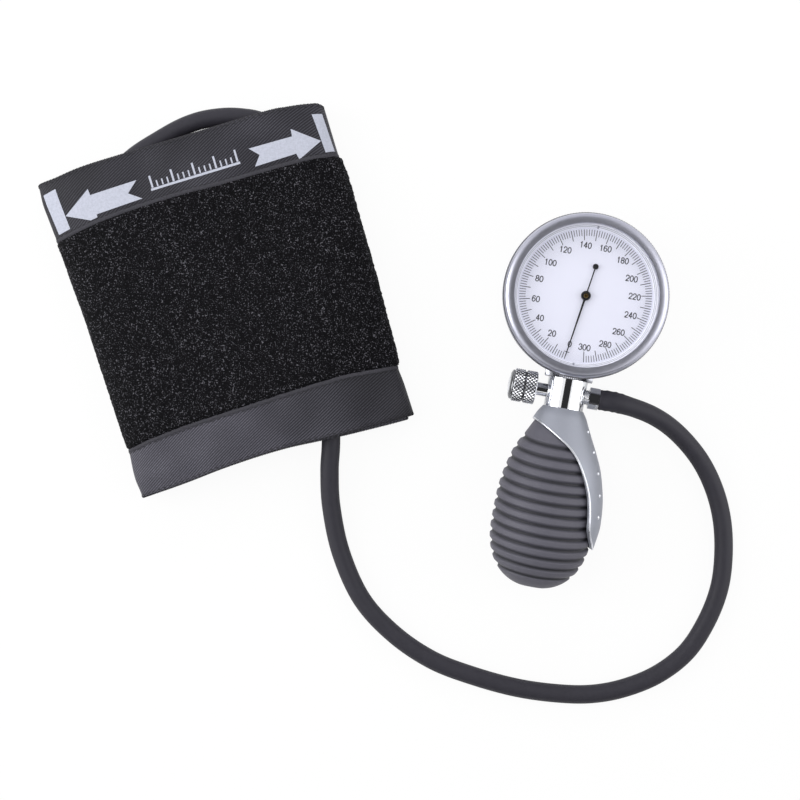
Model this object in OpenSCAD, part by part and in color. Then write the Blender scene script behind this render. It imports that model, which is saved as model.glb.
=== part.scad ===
// Palm aneroid sphygmomanometer, lying on a table with its rolled arm cuff.
// Origin: middle of the footprint on the table. +X right, +Y away, +Z up.
// Millimetres. The hose's own route is the one piece that keeps its points.

/* [Lie on the table] */
// Clockwise turn of the gauge and bulb unit, in degrees
unit_turn = 10.3; // [0:0.1:20]
// Counter-clockwise turn of the rolled cuff, in degrees
cuff_turn = 17; // [5:1:30]
// From the middle of the cuff to the middle of the gauge, to the right
gauge_from_cuff_x = 151.5; // [148:0.5:180]
// From the middle of the cuff to the middle of the gauge, away from the viewer
gauge_from_cuff_y = 1.4; // [-10:0.1:10]

/* [Gauge] */
// How far the bezel stands out past the case
bezel_over = 1.6; // [1:0.1:3]
// Height of the convex bezel above its screwed skirt
bezel_bead_h = 3.6; // [3:0.1:4.4]
// How far the bezel's lip reaches over the lens
lip_w = 1.2; // [0.8:0.05:1.4]
// Outside diameter of the case below the bezel
case_d = 66.4; // [62:0.2:72]
// Wall of the case
case_wall = 1.8; // [1.4:0.1:2]
// Thickness of the case floor
case_floor = 2; // [1.4:0.1:2.4]
// Thickness of the dial plate
dial_t = 0.8; // [0.5:0.1:1]
// Height of the ring that keeps the lens off the dial
lens_ring_h = 2.6; // [2.4:0.1:3.2]
// Width of that ring
lens_ring_w = 2.75; // [2.4:0.05:3.2]
// Thickness of the lens
lens_t = 1.8; // [1.2:0.1:2.2]
// Thickness of the lens gasket
gasket_t = 0.6; // [0.4:0.1:0.8]

/* [Pointer and movement] */
// From the pointer's tip to the ring that holds the lens
pointer_gap = 2; // [1:0.1:5]
// Length of the pointer's tail, to the middle of its round end
tail_len = 12.8; // [9:0.2:15]
// Diameter of the tail's round end
tail_d = 2.4; // [1.8:0.1:3]
// Diameter of the pointer's boss
boss_d = 4; // [3.4:0.2:5]
// Diameter of the pinion's staff
staff_d = 1.2; // [1:0.1:1.4]
// Gear module of the pinion and the sector
gear_module = 0.3; // [0.28:0.01:0.31]
// Teeth of the pinion
pinion_teeth = 10; // [10:1:10]
// Teeth that the sector would have as a full wheel
sector_teeth = 120; // [120:1:120]
// Thickness of the sector
sector_t = 1.2; // [0.8:0.1:1.6]
// Thickness of each movement plate
plate_t = 1; // [0.8:0.1:1.2]
// Width of the movement plates outside the sector's arbor
plate_rim = 2.5; // [2:0.1:3]
// Height of the pillars between the plates
pillar_h = 9; // [8.6:0.2:9.6]
// Diameter of the pillars
pillar_d = 3; // [2.6:0.1:3.6]
// Diameter of the pressure capsule
capsule_d = 32; // [26:1:36]
// Height of each half of the capsule
capsule_half_h = 2.2; // [1.8:0.1:2.4]
// Diameter of the capsule's stud
stud_d = 3; // [2.4:0.2:4]
// Full travel of the capsule's stud
capsule_travel = 0.9; // [0.7:0.1:0.9]
// Diameter of the rocking shaft
rocker_d = 1.4; // [1.2:0.1:1.6]
// From the middle of the gauge to the rocking shaft
rocker_reach = 6; // [5.6:0.2:6.4]
// Turns of the hairspring
spring_turns = 4; // [3:0.5:5]

/* [Manifold and release valve] */
// Diameter of the manifold
manifold_d = 16.6; // [15.6:0.2:17.6]
// Length of the manifold, from the saddle to its lower shoulder
manifold_len = 14.6; // [14:0.1:16]
// From the saddle to the line of valve and hose connector
ports_in = 6.2; // [5.6:0.1:6.6]
// How far the saddle stands out past the manifold
saddle_over = 1; // [0.6:0.1:2]
// Thickness of the saddle
saddle_t = 2.2; // [1.6:0.1:2.6]
// Diameter of the manifold's neck
neck_d = 10; // [9:0.2:10.4]
// Length of the manifold's neck below the shoulder
neck_len = 13; // [12.6:0.2:15]
// Bore through the manifold
bore_d = 3; // [2.4:0.2:3.4]
// Diameter of the valve's bush
bush_d = 5.5; // [5.2:0.1:6]
// Bush that shows between manifold and knob
bush_show = 4.4; // [3:0.2:5]
// Diameter of the release knob
knob_d = 14.1; // [12:0.1:16]
// Length of the knurled part of the knob
knob_len = 10; // [9:0.5:13]
// Height of the knob's domed end
knob_dome = 2; // [0.8:0.1:2.4]
// Diameter of the valve's spindle
spindle_d = 3.2; // [3:0.1:3.4]
// Travel of the release valve from closed to open
valve_travel = 1.2; // [0.8:0.1:1.4]

/* [Hose connector] */
// Diameter of the nipple beside the manifold
nipple_d = 6.4; // [6:0.1:7]
// Nipple that shows between manifold and nut
nipple_show = 1.6; // [1.4:0.2:4]
// Hex nut, across its flats
nut_af = 8.2; // [8:0.2:12]
// Length of the hex nut
nut_len = 4.4; // [4:0.2:6]
// Diameter of the barb inside the hose
barb_d = 4.4; // [4:0.2:5]
// Outside diameter of the hose
hose_d = 8; // [7:0.2:8]

/* [Bulb and spoon] */
// Largest diameter of the bulb
bulb_d = 43.2; // [40:0.2:48]
// Length of the bulb
bulb_len = 71.7; // [70:0.1:74]
// Diameter of the bulb's shoulder inside the spoon
bulb_top_d = 18.6; // [17:0.2:19]
// Wall of the bulb
bulb_wall = 2.2; // [1.8:0.1:2.6]
// Ribs round the bulb
bulb_ribs = 12; // [8:1:14]
// Depth of the grooves between the ribs
groove_depth = 0.9; // [0.5:0.1:1.2]
// Wall of the spoon
spoon_wall = 1.6; // [1.4:0.1:2]
// Least gap between the spoon and the bulb
spoon_gap = 0.5; // [0.4:0.1:0.8]
// Extra gap half way along the spoon
spoon_bow = 0.9; // [0:0.1:1.4]
// Length of the spoon
spoon_len = 56.4; // [50:0.2:60]
// Diameter of the grip bumps on the spoon
bump_d = 1.8; // [1:0.1:2.4]
// Diameter of the end valve in the bulb
end_valve_d = 10.4; // [9.6:0.2:11]
// Length of the end valve
end_valve_len = 10; // [9.8:0.2:12]
// Lift of both flap valves
flap_lift = 0.8; // [0.4:0.1:1]

/* [Cuff] */
// Width of the rolled cuff
cuff_roll_w = 126.4; // [115:0.2:135]
// Height of the cuff, along the roll
cuff_h = 138; // [130:1:145]
// How far the cuff's long edges bow up at their middle
edge_bow = 3.6; // [1:0.1:6]
// Thickness of one layer of the cuff
cuff_layer = 2.6; // [2.3:0.1:2.6]
// Gap between the layers of the roll
layer_gap = 0.3; // [0.2:0.1:0.6]
// Height of the space inside the roll
roll_core_h = 11.3; // [11:0.1:13]
// Thickness of the pile panel
pile_t = 0.9; // [0.5:0.1:1.5]
// Width of the bare band above the pile panel
top_band_w = 23; // [15:1:30]
// Width of the bare band below the pile panel
bottom_band_w = 22; // [15:1:30]
// Thickness of the hook panel
hook_t = 0.5; // [0.3:0.1:0.8]
// Height of the hook panel
hook_h = 57; // [40:1:80]
// Thickness of the empty bladder
bladder_t = 0.9; // [0.6:0.1:1]
// Height of the bladder
bladder_h = 118; // [110:1:124]

/* [Hidden] */
// Clearances
slip = 0.05;
loose = 0.15;
seat = 0.1;

// Longer than any bore, for cuts that go right through
through = 2 * case_d;

// Heights in the gauge
axis_h = bulb_d / 2;
saddle_d = manifold_d + 2 * saddle_over;
case_h = axis_h + saddle_d / 2 - seat;
case_r = case_d / 2;
bezel_r = case_r + bezel_over;
case_in_r = case_r - case_wall;
neck_h = 2.8;
neck_r = case_r - 0.8;
ledge_w = 2;
ledge_t = 1.5;
dial_z = case_h + 0.2;
dial_top = dial_z + dial_t;
lens_z = dial_top + lens_ring_h;
gasket_z = lens_z + lens_t;
lip_z = gasket_z + gasket_t;
dial_r = case_in_r - loose;
window_r = dial_r - lip_w;
lens_ring_r = dial_r - lens_ring_w;
pointer_len = lens_ring_r - pointer_gap;
corner_r = 5;
bead_z = lip_z + 1.8 - bezel_bead_h;

// Heights in the movement
capsule_z = case_floor + 3;
seam_z = capsule_z + capsule_half_h;
capsule_top = seam_z + capsule_half_h;
plate_z = capsule_top + 4.6;
gap_z = plate_z + plate_t;
top_plate_z = gap_z + pillar_h;
sector_z = gap_z + 3;
pinion_h = sector_t + 2;
boss_post_d = 5;
boss_r = case_in_r - 4.4;
boss_angles = [90, 205, 335];
pillar_angles = [60, 180, 335];
gear_c = gear_module * (pinion_teeth + sector_teeth) / 2;
plate_r = gear_c + plate_rim;
pillar_r = plate_r - 3.2;
screw_d = 4.2;
screw_h = 0.8;
pivot_angle = -62.5;
sector_pos = [gear_c * cos(pivot_angle), gear_c * sin(pivot_angle)];
arbor_d = 1.5;
hub_r = 1.6;
sheet_t = 0.3;
rocker_z = plate_z - 1.5 - rocker_d / 2;
arm_t = 1;
stud_top = rocker_z - arm_t / 2 - seat;
tail_arm = 2.5;
tail_w = 1;
finger_w = 1;
finger_t = 0.8;
finger_x = sector_pos[0] - tail_w / 2 - loose - finger_w / 2;
finger_y = sector_pos[1] - tail_arm;
rocker_front = finger_y - 2;
rocker_back = 3;
bearing_t = 1.6;
bearing_y = rocker_front + 5.8;
pointer_z = dial_top + 0.5;
needle_t = 0.3;
boss_h = 1.4;
bush_r = 1;
spring_z = sector_z - 1 + pinion_h + 0.8;
spring_h = 0.8;
spring_in = 1.8;
spring_out = 5.6;
spring_t = 0.16;
collet_r = spring_in - 0.3;

// Along the bulb's axis, from the middle of the gauge
saddle_s = case_r + saddle_t;
shoulder_s = saddle_s + manifold_len;
ports_s = saddle_s + ports_in;
stub_r = 4;
stub_s = case_in_r - 5.4;
block_r = 5.6;
block_len = 2.2;
neck_end = shoulder_s + neck_len;
web_t = 2.9;
bulb_top = shoulder_s + web_t + 2 * seat;
bulb_end = bulb_top + bulb_len;
bulb_widest = bulb_top + 0.63 * bulb_len;
bulb_r = bulb_d / 2;
spoon_top = shoulder_s - 2.1;
spoon_end = spoon_top + spoon_len;
tube_r = 1.2;
tube_z = case_floor + 1.5;
tube_y = -case_in_r + 7.6;

// Across the manifold, to the left for the valve and to the right for the hose
bush_end = manifold_d / 2 + bush_show;
ring_x = bush_end - 3.2;
ring_t = 0.9;
seat_x = 3;
knob_in = bush_end + seat;
face_x = manifold_d / 2 - 0.7;
thread_x = manifold_d / 2 - 3.4;
seal_t = 0.4;
nut_in = manifold_d / 2 + nipple_show;
nut_out = nut_in + nut_len;
barb_len = 9;

// Flap valves
flap_t = 0.8;
outlet_bore = 3;
outlet_seat_s = neck_end - 3.4;
outlet_seat_t = 1.8;
flap_r = 2.4;
flap_room = seat + flap_t + flap_lift + 1.3;
end_s = bulb_end - 0.7;
end_bore = 3.4;
end_seat_s = end_s - 3.4;
end_seat_t = 1.4;

// Where the cuff and the gauge lie, so that the footprint is centred
cuff_ex = cuff_roll_w / 2 * cos(cuff_turn) + cuff_h / 2 * sin(cuff_turn);
cuff_ey = cuff_roll_w / 2 * sin(cuff_turn) + cuff_h / 2 * cos(cuff_turn);
unit_low = bulb_widest * cos(unit_turn) + (bulb_end - bulb_widest);
cuff_x = -(gauge_from_cuff_x + bezel_r - cuff_ex) / 2;
cuff_y = -(cuff_ey + gauge_from_cuff_y - unit_low) / 2;
gauge_x = cuff_x + gauge_from_cuff_x;
gauge_y = cuff_y + gauge_from_cuff_y;

// The roll's section: a flattened spiral, 0 degrees at its outer end on the right
layer_pitch = cuff_layer + layer_gap;
roll_half = roll_core_h / 2 + 1.5 * layer_pitch + cuff_layer;
roll_wide = cuff_roll_w / 2;
roll_z = roll_half - 0.75 * layer_pitch;
round_top = 2.8;
round_bottom = 5;
roll_end = 720;
bow_r = (pow(roll_wide, 2) + pow(edge_bow, 2)) / (2 * edge_bow);
bladder_skin = (cuff_layer - bladder_t) / 2;
bladder_span = [400, 640];
bladder_play = 7.5;
pile_span = [7.5, 195];
hook_span = [550, 610];
pile_low = -cuff_h / 2 + bottom_band_w;
pile_high = cuff_h / 2 - top_band_w;

// The hose's route, from the connector to the cuff's port
hose_start = place([nut_out, -ports_s], axis_h);
hose_straight = place([nut_out + hose_d + 1, -ports_s], axis_h);
port_len = 10;
port_r = 4.2;
port_foot_r = 2.2;
port_from = [-104.3, 42.1, 10.7];
port_to = [-101.4, 32.6, 10.7];
port_angle = 600;
port_foot = roll_point(port_angle, bladder_skin + bladder_t)[1] - 2 * seat;
hose_route = [
    hose_start, hose_straight, [128.3, -29.9, 16], [139.8, -37.4, 9.8], [150.1, -48.8, 5.6],
    [156.8, -61.8, 4.1], [160.3, -75.8, 4.1], [160.9, -90.9, 4.1], [159, -105.2, 4.1],
    [153.5, -119.3, 4.1], [144.9, -132.4, 4.1], [132.6, -142, 4.1], [118.4, -147.9, 4.1],
    [104.3, -150.6, 4.1], [89.3, -150.4, 4.1], [71.3, -147.9, 4.1], [52.3, -142.7, 4.1],
    [34.8, -135.9, 4.1], [18.4, -124.8, 4.1], [4.6, -109.8, 4.1], [-4.4, -89.9, 4.3],
    [-8.6, -69.9, 6.2], [-9.3, -53.9, 9], [-8.6, -39.9, 10.6], [-9.1, -10.8, 10.7],
    [-11.4, 23, 10.7], [-14.7, 52.3, 10.7], [-18.3, 71.1, 10.7], [-23, 83.9, 10.7],
    [-29.9, 91.6, 10.7], [-39.1, 96.1, 10.7], [-47.2, 97.6, 10.7], [-55.2, 97.7, 10.7],
    [-64.5, 96.2, 10.7], [-73.5, 92.9, 10.7], [-82.5, 87.8, 10.7], [-93.1, 80.7, 10.7],
    [-101.2, 72.8, 10.7], [-106, 62, 10.7], [-106.6, 51.2, 10.7], port_from
];

// A point of the gauge unit, across and up the dial, as it lies on the table
function place(p, z) = [
    gauge_x + p[0] * cos(unit_turn) + p[1] * sin(unit_turn),
    gauge_y - p[0] * sin(unit_turn) + p[1] * cos(unit_turn),
    z
];

function unit(v) = v / norm(v);

// Smooth curve through points, with a number of steps between each two
function curve_point(p, i, t) =
    let (a = p[max(i - 1, 0)], b = p[i], c = p[i + 1], d = p[min(i + 2, len(p) - 1)])
    0.5 * (2 * b + (c - a) * t + (2 * a - 5 * b + 4 * c - d) * t * t
        + (3 * b - a - 3 * c + d) * t * t * t);
function curve(p, steps) = concat(
    [for (i = [0 : len(p) - 2]) for (k = [0 : steps - 1]) curve_point(p, i, k / steps)],
    [p[len(p) - 1]]
);

function polar(r, a) = [r * cos(a), r * sin(a)];

// Lays a child out in the gauge's own place
module on_unit() {
    translate([gauge_x, gauge_y, 0]) rotate([0, 0, -unit_turn]) children();
}

// Turns a child's +Z down the bulb's axis, away from the gauge
module on_axis() {
    on_unit() translate([0, 0, axis_h]) rotate([90, 0, 0]) children();
}

// Turns a child's +Z to the left, out through the release valve
module on_valve() {
    on_unit() translate([0, -ports_s, axis_h]) rotate([0, -90, 0]) children();
}

// Turns a child's +Z to the right, out through the hose connector
module on_connector() {
    on_unit() translate([0, -ports_s, axis_h]) rotate([0, 90, 0]) children();
}

// Lays a child out in the cuff's own place
module on_cuff() {
    translate([cuff_x, cuff_y, 0]) rotate([0, 0, cuff_turn]) children();
}

// A ring or tube standing from z0 to z1
module ring(outer, inner, z0, z1) {
    translate([0, 0, z0]) difference() {
        cylinder(r = outer, h = z1 - z0, $fn = 96);
        translate([0, 0, -1]) cylinder(r = inner, h = z1 - z0 + 2, $fn = 96);
    }
}

// A rod from z0 to z1
module rod(r, z0, z1) {
    translate([0, 0, z0]) cylinder(r = r, h = z1 - z0, $fn = 48);
}

// A round torus ring
module o_ring(mid, thick, z) {
    translate([0, 0, z]) rotate_extrude($fn = 64)
        translate([mid, 0]) circle(d = thick, $fn = 24);
}

module gauge_case() {
    color([0.56, 0.56, 0.6]) on_unit() {
        difference() {
            union() {
                translate([0, 0, corner_r]) cylinder(r = case_r, h = case_h - corner_r, $fn = 96);
                cylinder(r = case_r - corner_r, h = case_h, $fn = 96);
                rotate_extrude($fn = 96) translate([case_r - corner_r, corner_r])
                    circle(r = corner_r, $fn = 48);
                translate([0, 0, case_h - 1]) cylinder(r = neck_r, h = neck_h + 1, $fn = 96);
            }
            translate([0, 0, case_floor + corner_r])
                cylinder(r = case_in_r, h = case_h + neck_h, $fn = 96);
            translate([0, 0, case_floor])
                cylinder(r = case_in_r - corner_r, h = case_h, $fn = 96);
            translate([0, 0, axis_h]) rotate([90, 0, 0])
                cylinder(r = stub_r + slip, h = case_r + 4, $fn = 48);
        }
        ring(case_in_r + 0.2, case_in_r - ledge_w, dial_z - ledge_t, dial_z - slip);
        for (a = boss_angles) rotate([0, 0, a]) translate([boss_r, 0, 0])
            rod(boss_post_d / 2, case_floor - 0.5, plate_z - slip);
    }
}

module bezel_ring() {
    color([0.68, 0.68, 0.72]) on_unit() difference() {
        union() {
            translate([0, 0, case_h + seat])
                cylinder(r = bezel_r, h = bead_z - case_h - seat, $fn = 96);
            rotate_extrude($fn = 96) translate([bezel_r - bezel_bead_h, bead_z])
                circle(r = bezel_bead_h, $fn = 48);
        }
        translate([0, 0, case_h - 1]) cylinder(r = neck_r + slip, h = lip_z - case_h + 1, $fn = 96);
        cylinder(r = window_r, h = lip_z + bezel_bead_h, $fn = 96);
    }
}

module lens() {
    color([0.85, 0.92, 0.95, 0.3]) on_unit() rod(dial_r, lens_z, gasket_z);
}

module lens_gasket() {
    color([0.12, 0.12, 0.13]) on_unit() ring(dial_r, dial_r - 0.8, gasket_z, lip_z);
}

module lens_ring() {
    color([0.86, 0.87, 0.93]) on_unit() difference() {
        ring(dial_r, lens_ring_r, dial_top, lens_z);
        for (side = [0, 180]) rotate([0, 0, side]) translate([-0.2, lens_ring_r + 0.4, lens_z - 0.5])
            cube([0.4, case_r, 1]);
    }
}

module dial_plate() {
    color([0.93, 0.93, 0.96]) on_unit() ring(dial_r, staff_d / 2 + 0.6, dial_z, dial_top);
}

// Points at zero, just left of the dial's foot
module pointer() {
    color([0.08, 0.08, 0.09]) on_unit() rotate([0, 0, -98.5]) {
        ring(boss_d / 2, bush_r + slip, pointer_z, pointer_z + boss_h);
        translate([0, 0, pointer_z + 0.5]) {
            linear_extrude(needle_t) difference() {
                union() {
                    polygon([[0, -0.45], [pointer_len, -0.16], [pointer_len, 0.16], [0, 0.45]]);
                    translate([-tail_len, -0.25]) square([tail_len, 0.5]);
                    translate([-tail_len, 0]) circle(d = tail_d, $fn = 48);
                }
                circle(d = (boss_d + 2 * bush_r) / 2, $fn = 48);
            }
        }
    }
}

module pointer_bush() {
    color([0.78, 0.6, 0.28]) on_unit()
        ring(bush_r, staff_d / 2 + slip / 2, pointer_z + 0.2, pointer_z + boss_h + 0.2);
}

// One gear tooth as four corners and two flank points, about the angle a
function tooth(r, a) =
    let (foot = r - 1.15 * gear_module, top = r + 0.8 * gear_module,
        half_foot = 0.75 * gear_module, half_mid = 0.62 * gear_module, half_top = 0.25 * gear_module)
    [
        polar(foot, a - half_foot / foot * 180 / PI), polar(r, a - half_mid / r * 180 / PI),
        polar(top, a - half_top / top * 180 / PI), polar(top, a + half_top / top * 180 / PI),
        polar(r, a + half_mid / r * 180 / PI), polar(foot, a + half_foot / foot * 180 / PI)
    ];

module pinion() {
    first = pivot_angle + 180 / pinion_teeth;
    color([0.8, 0.66, 0.36]) on_unit() {
        translate([0, 0, sector_z - 1]) linear_extrude(pinion_h)
            polygon([for (k = [0 : pinion_teeth - 1])
                each tooth(gear_module * pinion_teeth / 2, first + k * 360 / pinion_teeth)]);
        rod(staff_d / 2, plate_z + seat, pointer_z + boss_h - 0.6);
        rod(collet_r, spring_z, spring_z + spring_h);
    }
}

function spiral_at(turn, half) = polar(
    spring_in + (spring_out - spring_in) * turn / spring_turns + half, 360 * turn);

module hairspring() {
    steps = spring_turns * 24;
    color([0.4, 0.42, 0.5]) on_unit() translate([0, 0, spring_z]) {
        linear_extrude(spring_h) polygon(concat(
            [for (k = [0 : steps]) spiral_at(k / 24, spring_t / 2)],
            [for (k = [steps : -1 : 0]) spiral_at(k / 24, -spring_t / 2)]
        ));
        translate([spring_out * cos(360 * spring_turns) + 0.4, spring_out * sin(360 * spring_turns), 0])
            rod(0.5, 0, top_plate_z - spring_z);
    }
}

module sector_gear() {
    r = gear_module * sector_teeth / 2;
    rim = r - 1.15 * gear_module;
    pitch = 360 / sector_teeth;
    color([0.8, 0.66, 0.36]) on_unit() translate([sector_pos[0], sector_pos[1], sector_z])
        linear_extrude(sector_t) difference() {
            union() {
                rotate(pivot_angle + 180) {
                    polygon(concat([[0, 0]], [for (k = [-11 : 2]) each tooth(r, k * pitch)]));
                    circle(r = hub_r, $fn = 48);
                }
                translate([-tail_w / 2, -tail_arm]) square([tail_w, tail_arm]);
            }
            circle(d = arbor_d, $fn = 48);
            rotate(pivot_angle + 180 - 4.5 * pitch) translate([rim - 6, 0]) circle(r = 1.4, $fn = 32);
        }
}

module sector_arbor() {
    color([0.72, 0.73, 0.76]) on_unit() translate([sector_pos[0], sector_pos[1], 0])
        rod(arbor_d / 2, plate_z + seat, top_plate_z + plate_t - seat);
}

// Shaft with an arm over the capsule's stud and a finger beside the sector's tail
module rocking_shaft() {
    color([0.72, 0.73, 0.76]) on_unit() {
        translate([rocker_reach, rocker_back, rocker_z]) rotate([90, 0, 0])
            cylinder(d = rocker_d, h = rocker_back - rocker_front, $fn = 48);
        translate([-0.6, -1, rocker_z - arm_t / 2]) cube([rocker_reach + 0.6, 2, arm_t]);
        translate([rocker_reach, finger_y - finger_t / 2, rocker_z - arm_t / 2])
            cube([finger_x + finger_w / 2 - rocker_reach, finger_t, arm_t]);
        translate([finger_x - finger_w / 2, finger_y - finger_t / 2, rocker_z])
            cube([finger_w, finger_t, sector_z + sector_t - rocker_z]);
    }
}

module plate_holes(z) {
    notch = [2 * (block_r + loose + 0.25), 2 * plate_r + tube_y + block_len + 0.6, 4];
    translate([-notch[0] / 2, -2 * plate_r, z - 2]) cube(notch);
    for (a = pillar_angles) rotate([0, 0, a]) translate([pillar_r, 0, z])
        cylinder(d = 1.6 + 2 * slip, h = 4, center = true, $fn = 32);
    translate([0, 0, z]) cylinder(d = staff_d + 2 * slip, h = 4, center = true, $fn = 32);
    translate([sector_pos[0], sector_pos[1], z])
        cylinder(d = arbor_d + 2 * slip, h = 4, center = true, $fn = 32);
}

module rocker_bearing(y) {
    translate([rocker_reach - 1.6, y, rocker_z - rocker_d / 2 - 0.9])
        cube([3.2, bearing_t, plate_z - rocker_z + rocker_d / 2 + 1]);
}

module lower_plate() {
    color([0.76, 0.64, 0.36]) on_unit() difference() {
        union() {
            rod(plate_r, plate_z, plate_z + plate_t);
            for (a = boss_angles) rotate([0, 0, a]) {
                translate([boss_r, 0, 0]) rod(boss_post_d / 2, plate_z, plate_z + plate_t);
                translate([0, -boss_post_d / 2, plate_z]) cube([boss_r, boss_post_d, plate_t]);
            }
            rocker_bearing(rocker_back - bearing_t);
            rocker_bearing(bearing_y);
        }
        plate_holes(plate_z + plate_t / 2);
        translate([rocker_reach, rocker_back + 1, rocker_z]) rotate([90, 0, 0])
            cylinder(d = rocker_d + 2 * slip, h = through, $fn = 32);
        translate([finger_x - finger_w, finger_y - finger_t, plate_z - 1])
            cube([2 * finger_w + capsule_travel + 1, 2 * finger_t, plate_t + 2]);
    }
}

module upper_plate() {
    color([0.76, 0.64, 0.36]) on_unit() difference() {
        rod(plate_r, top_plate_z, top_plate_z + plate_t);
        plate_holes(top_plate_z + plate_t / 2);
    }
}

module pillars() {
    color([0.76, 0.64, 0.36]) on_unit() for (a = pillar_angles) rotate([0, 0, a])
        translate([pillar_r, 0, 0]) {
            rod(pillar_d / 2, gap_z, top_plate_z);
            rod(0.8, plate_z, top_plate_z + plate_t);
        }
}

module screw_head(z) {
    translate([0, 0, z]) difference() {
        cylinder(d = screw_d, h = screw_h, $fn = 32);
        translate([-screw_d, -0.25, screw_h / 2]) cube([2 * screw_d, 0.5, 1]);
    }
}

module movement_screws() {
    color([0.7, 0.71, 0.74]) on_unit() {
        for (a = pillar_angles) rotate([0, 0, a]) translate([pillar_r, 0, 0])
            screw_head(top_plate_z + plate_t);
        for (a = boss_angles) rotate([0, 0, a]) translate([boss_r, 0, 0])
            screw_head(plate_z + plate_t);
    }
}

// Half of the capsule: a sheet with ring waves, from its seam to its middle
function wave(r) = 0.35 * cos(360 * r / (capsule_d / 8));
function capsule_z_at(r) = (capsule_half_h - 0.5) * min(1, (capsule_d / 2 - r) / 3) + wave(r) * min(1,
    (capsule_d / 2 - 1 - r) / 2) * min(1, r / 2);
module capsule_half() {
    step = capsule_d / 48;
    rs = [for (r = [2 : step : capsule_d / 2 - 1]) r];
    rotate_extrude($fn = 64) polygon(concat(
        [[0, capsule_half_h]], [[2, capsule_half_h]],
        [for (r = rs) if (r > 2.5) [r, capsule_z_at(r) + sheet_t]],
        [[capsule_d / 2, sheet_t], [capsule_d / 2, 0], [capsule_d / 2 - 1, 0]],
        [for (i = [len(rs) - 1 : -1 : 0]) if (rs[i] > 2.5) [rs[i], capsule_z_at(rs[i])]],
        [[2, capsule_half_h - sheet_t], [0, capsule_half_h - sheet_t]]
    ));
}

module capsule_base() {
    color([0.72, 0.6, 0.36]) on_unit() difference() {
        translate([0, 0, seam_z]) mirror([0, 0, 1]) capsule_half();
        cylinder(r = tube_r - 0.4, h = seam_z, $fn = 32);
    }
}

module capsule_top() {
    color([0.76, 0.63, 0.38]) on_unit() translate([0, 0, seam_z]) capsule_half();
}

module capsule_stud() {
    color([0.72, 0.73, 0.76]) on_unit() {
        rod(stud_d / 2, capsule_top, capsule_top + 0.8);
        rod(0.35, capsule_top, stud_top);
    }
}

module pressure_tube() {
    color([0.75, 0.6, 0.38]) on_unit() {
        translate([0, 0, tube_z]) rotate([90, 0, 0]) cylinder(r = tube_r, h = -tube_y, $fn = 32);
        translate([0, tube_y, tube_z]) cylinder(r = tube_r, h = axis_h - block_r - tube_z, $fn = 32);
        translate([0, tube_y, tube_z]) sphere(r = tube_r, $fn = 32);
        translate([0, 0, tube_z]) sphere(r = tube_r, $fn = 32);
        translate([0, 0, tube_z]) cylinder(r = tube_r, h = capsule_z - tube_z, $fn = 32);
    }
}

// Threaded block inside the case that the manifold's stub screws into
module stem_block() {
    color([0.78, 0.64, 0.36]) on_unit() difference() {
        intersection() {
            translate([-block_r, -case_r, axis_h - block_r])
                cube([2 * block_r, case_r + tube_y + block_len, 2 * block_r]);
            cylinder(r = case_in_r - slip, h = 2 * axis_h, $fn = 96);
        }
        translate([0, -stub_s + 1, axis_h]) rotate([90, 0, 0])
            cylinder(r = stub_r + slip, h = case_r, $fn = 48);
        translate([0, tube_y, axis_h]) rotate([90, 0, 0])
            cylinder(r = tube_r - 0.4, h = stub_s + tube_y + 1, $fn = 32);
        translate([0, tube_y, axis_h - block_r - 1])
            cylinder(r = tube_r - 0.4, h = block_r + 1, $fn = 32);
    }
}

module manifold() {
    color([0.86, 0.87, 0.89]) difference() {
        on_axis() {
            rod(manifold_d / 2, saddle_s + slip, shoulder_s);
            rod(stub_r, stub_s, saddle_s + 1);
            rod(neck_d / 2, shoulder_s - 1, neck_end);
        }
        on_axis() rod(bore_d / 2, stub_s - 1, neck_end + 1);
        on_axis() rod(outlet_bore, outlet_seat_s - flap_room, neck_end + 1);
        on_valve() rod(bore_d / 3, 0, seat_x + 1);
        on_valve() rod(spindle_d / 2 + 0.4, seat_x + 0.2, manifold_d);
        on_valve() rod(bush_d / 2 - 0.4 + slip, seat_x + 2, manifold_d);
        on_valve() rod(bush_d / 2 + slip, face_x - slip, manifold_d);
        on_connector() rod(bore_d / 2, 0, manifold_d);
        on_connector() rod(nipple_d / 2 - 0.6 + slip, thread_x, manifold_d);
        on_connector() rod(nipple_d / 2 + slip, face_x - slip, manifold_d);
    }
}

// Plate between the round case and the round manifold
module saddle() {
    color([0.84, 0.85, 0.88]) on_unit() difference() {
        translate([0, 0, axis_h]) rotate([90, 0, 0]) difference() {
            rod(saddle_d / 2, case_r - 2, saddle_s);
            rod(stub_r + slip, 0, saddle_s + 1);
        }
        cylinder(r = case_r + slip, h = through, $fn = 96);
    }
}

module stub_seal() {
    color([0.1, 0.1, 0.1]) on_axis() ring(bore_d / 2 + 2, bore_d / 2 + 0.2, stub_s - 0.9, stub_s - seat);
}

module valve_bush() {
    color([0.84, 0.85, 0.88]) on_valve() difference() {
        union() {
            rod(bush_d / 2 - 0.4, seat_x + 2 + slip, bush_end);
            rod(bush_d / 2, face_x, bush_end);
        }
        rod(spindle_d / 2 + slip, 0, through);
        rod(spindle_d / 2 + 0.4 + slip, ring_x - 1, ring_x + 1 + valve_travel);
    }
}

module valve_spindle() {
    color([0.8, 0.81, 0.83]) on_valve() difference() {
        union() {
            rod(spindle_d / 2, seat_x + 1.4, knob_in + knob_len - 2);
            translate([0, 0, seat_x - 0.1])
                cylinder(r1 = bore_d / 3 - 0.2, r2 = spindle_d / 2, h = 1.5, $fn = 48);
        }
        difference() {
            rod(spindle_d, ring_x - ring_t / 2 - slip, ring_x + ring_t / 2 + slip);
            rod(spindle_d / 2 - 0.5, 0, through);
        }
    }
}

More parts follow.
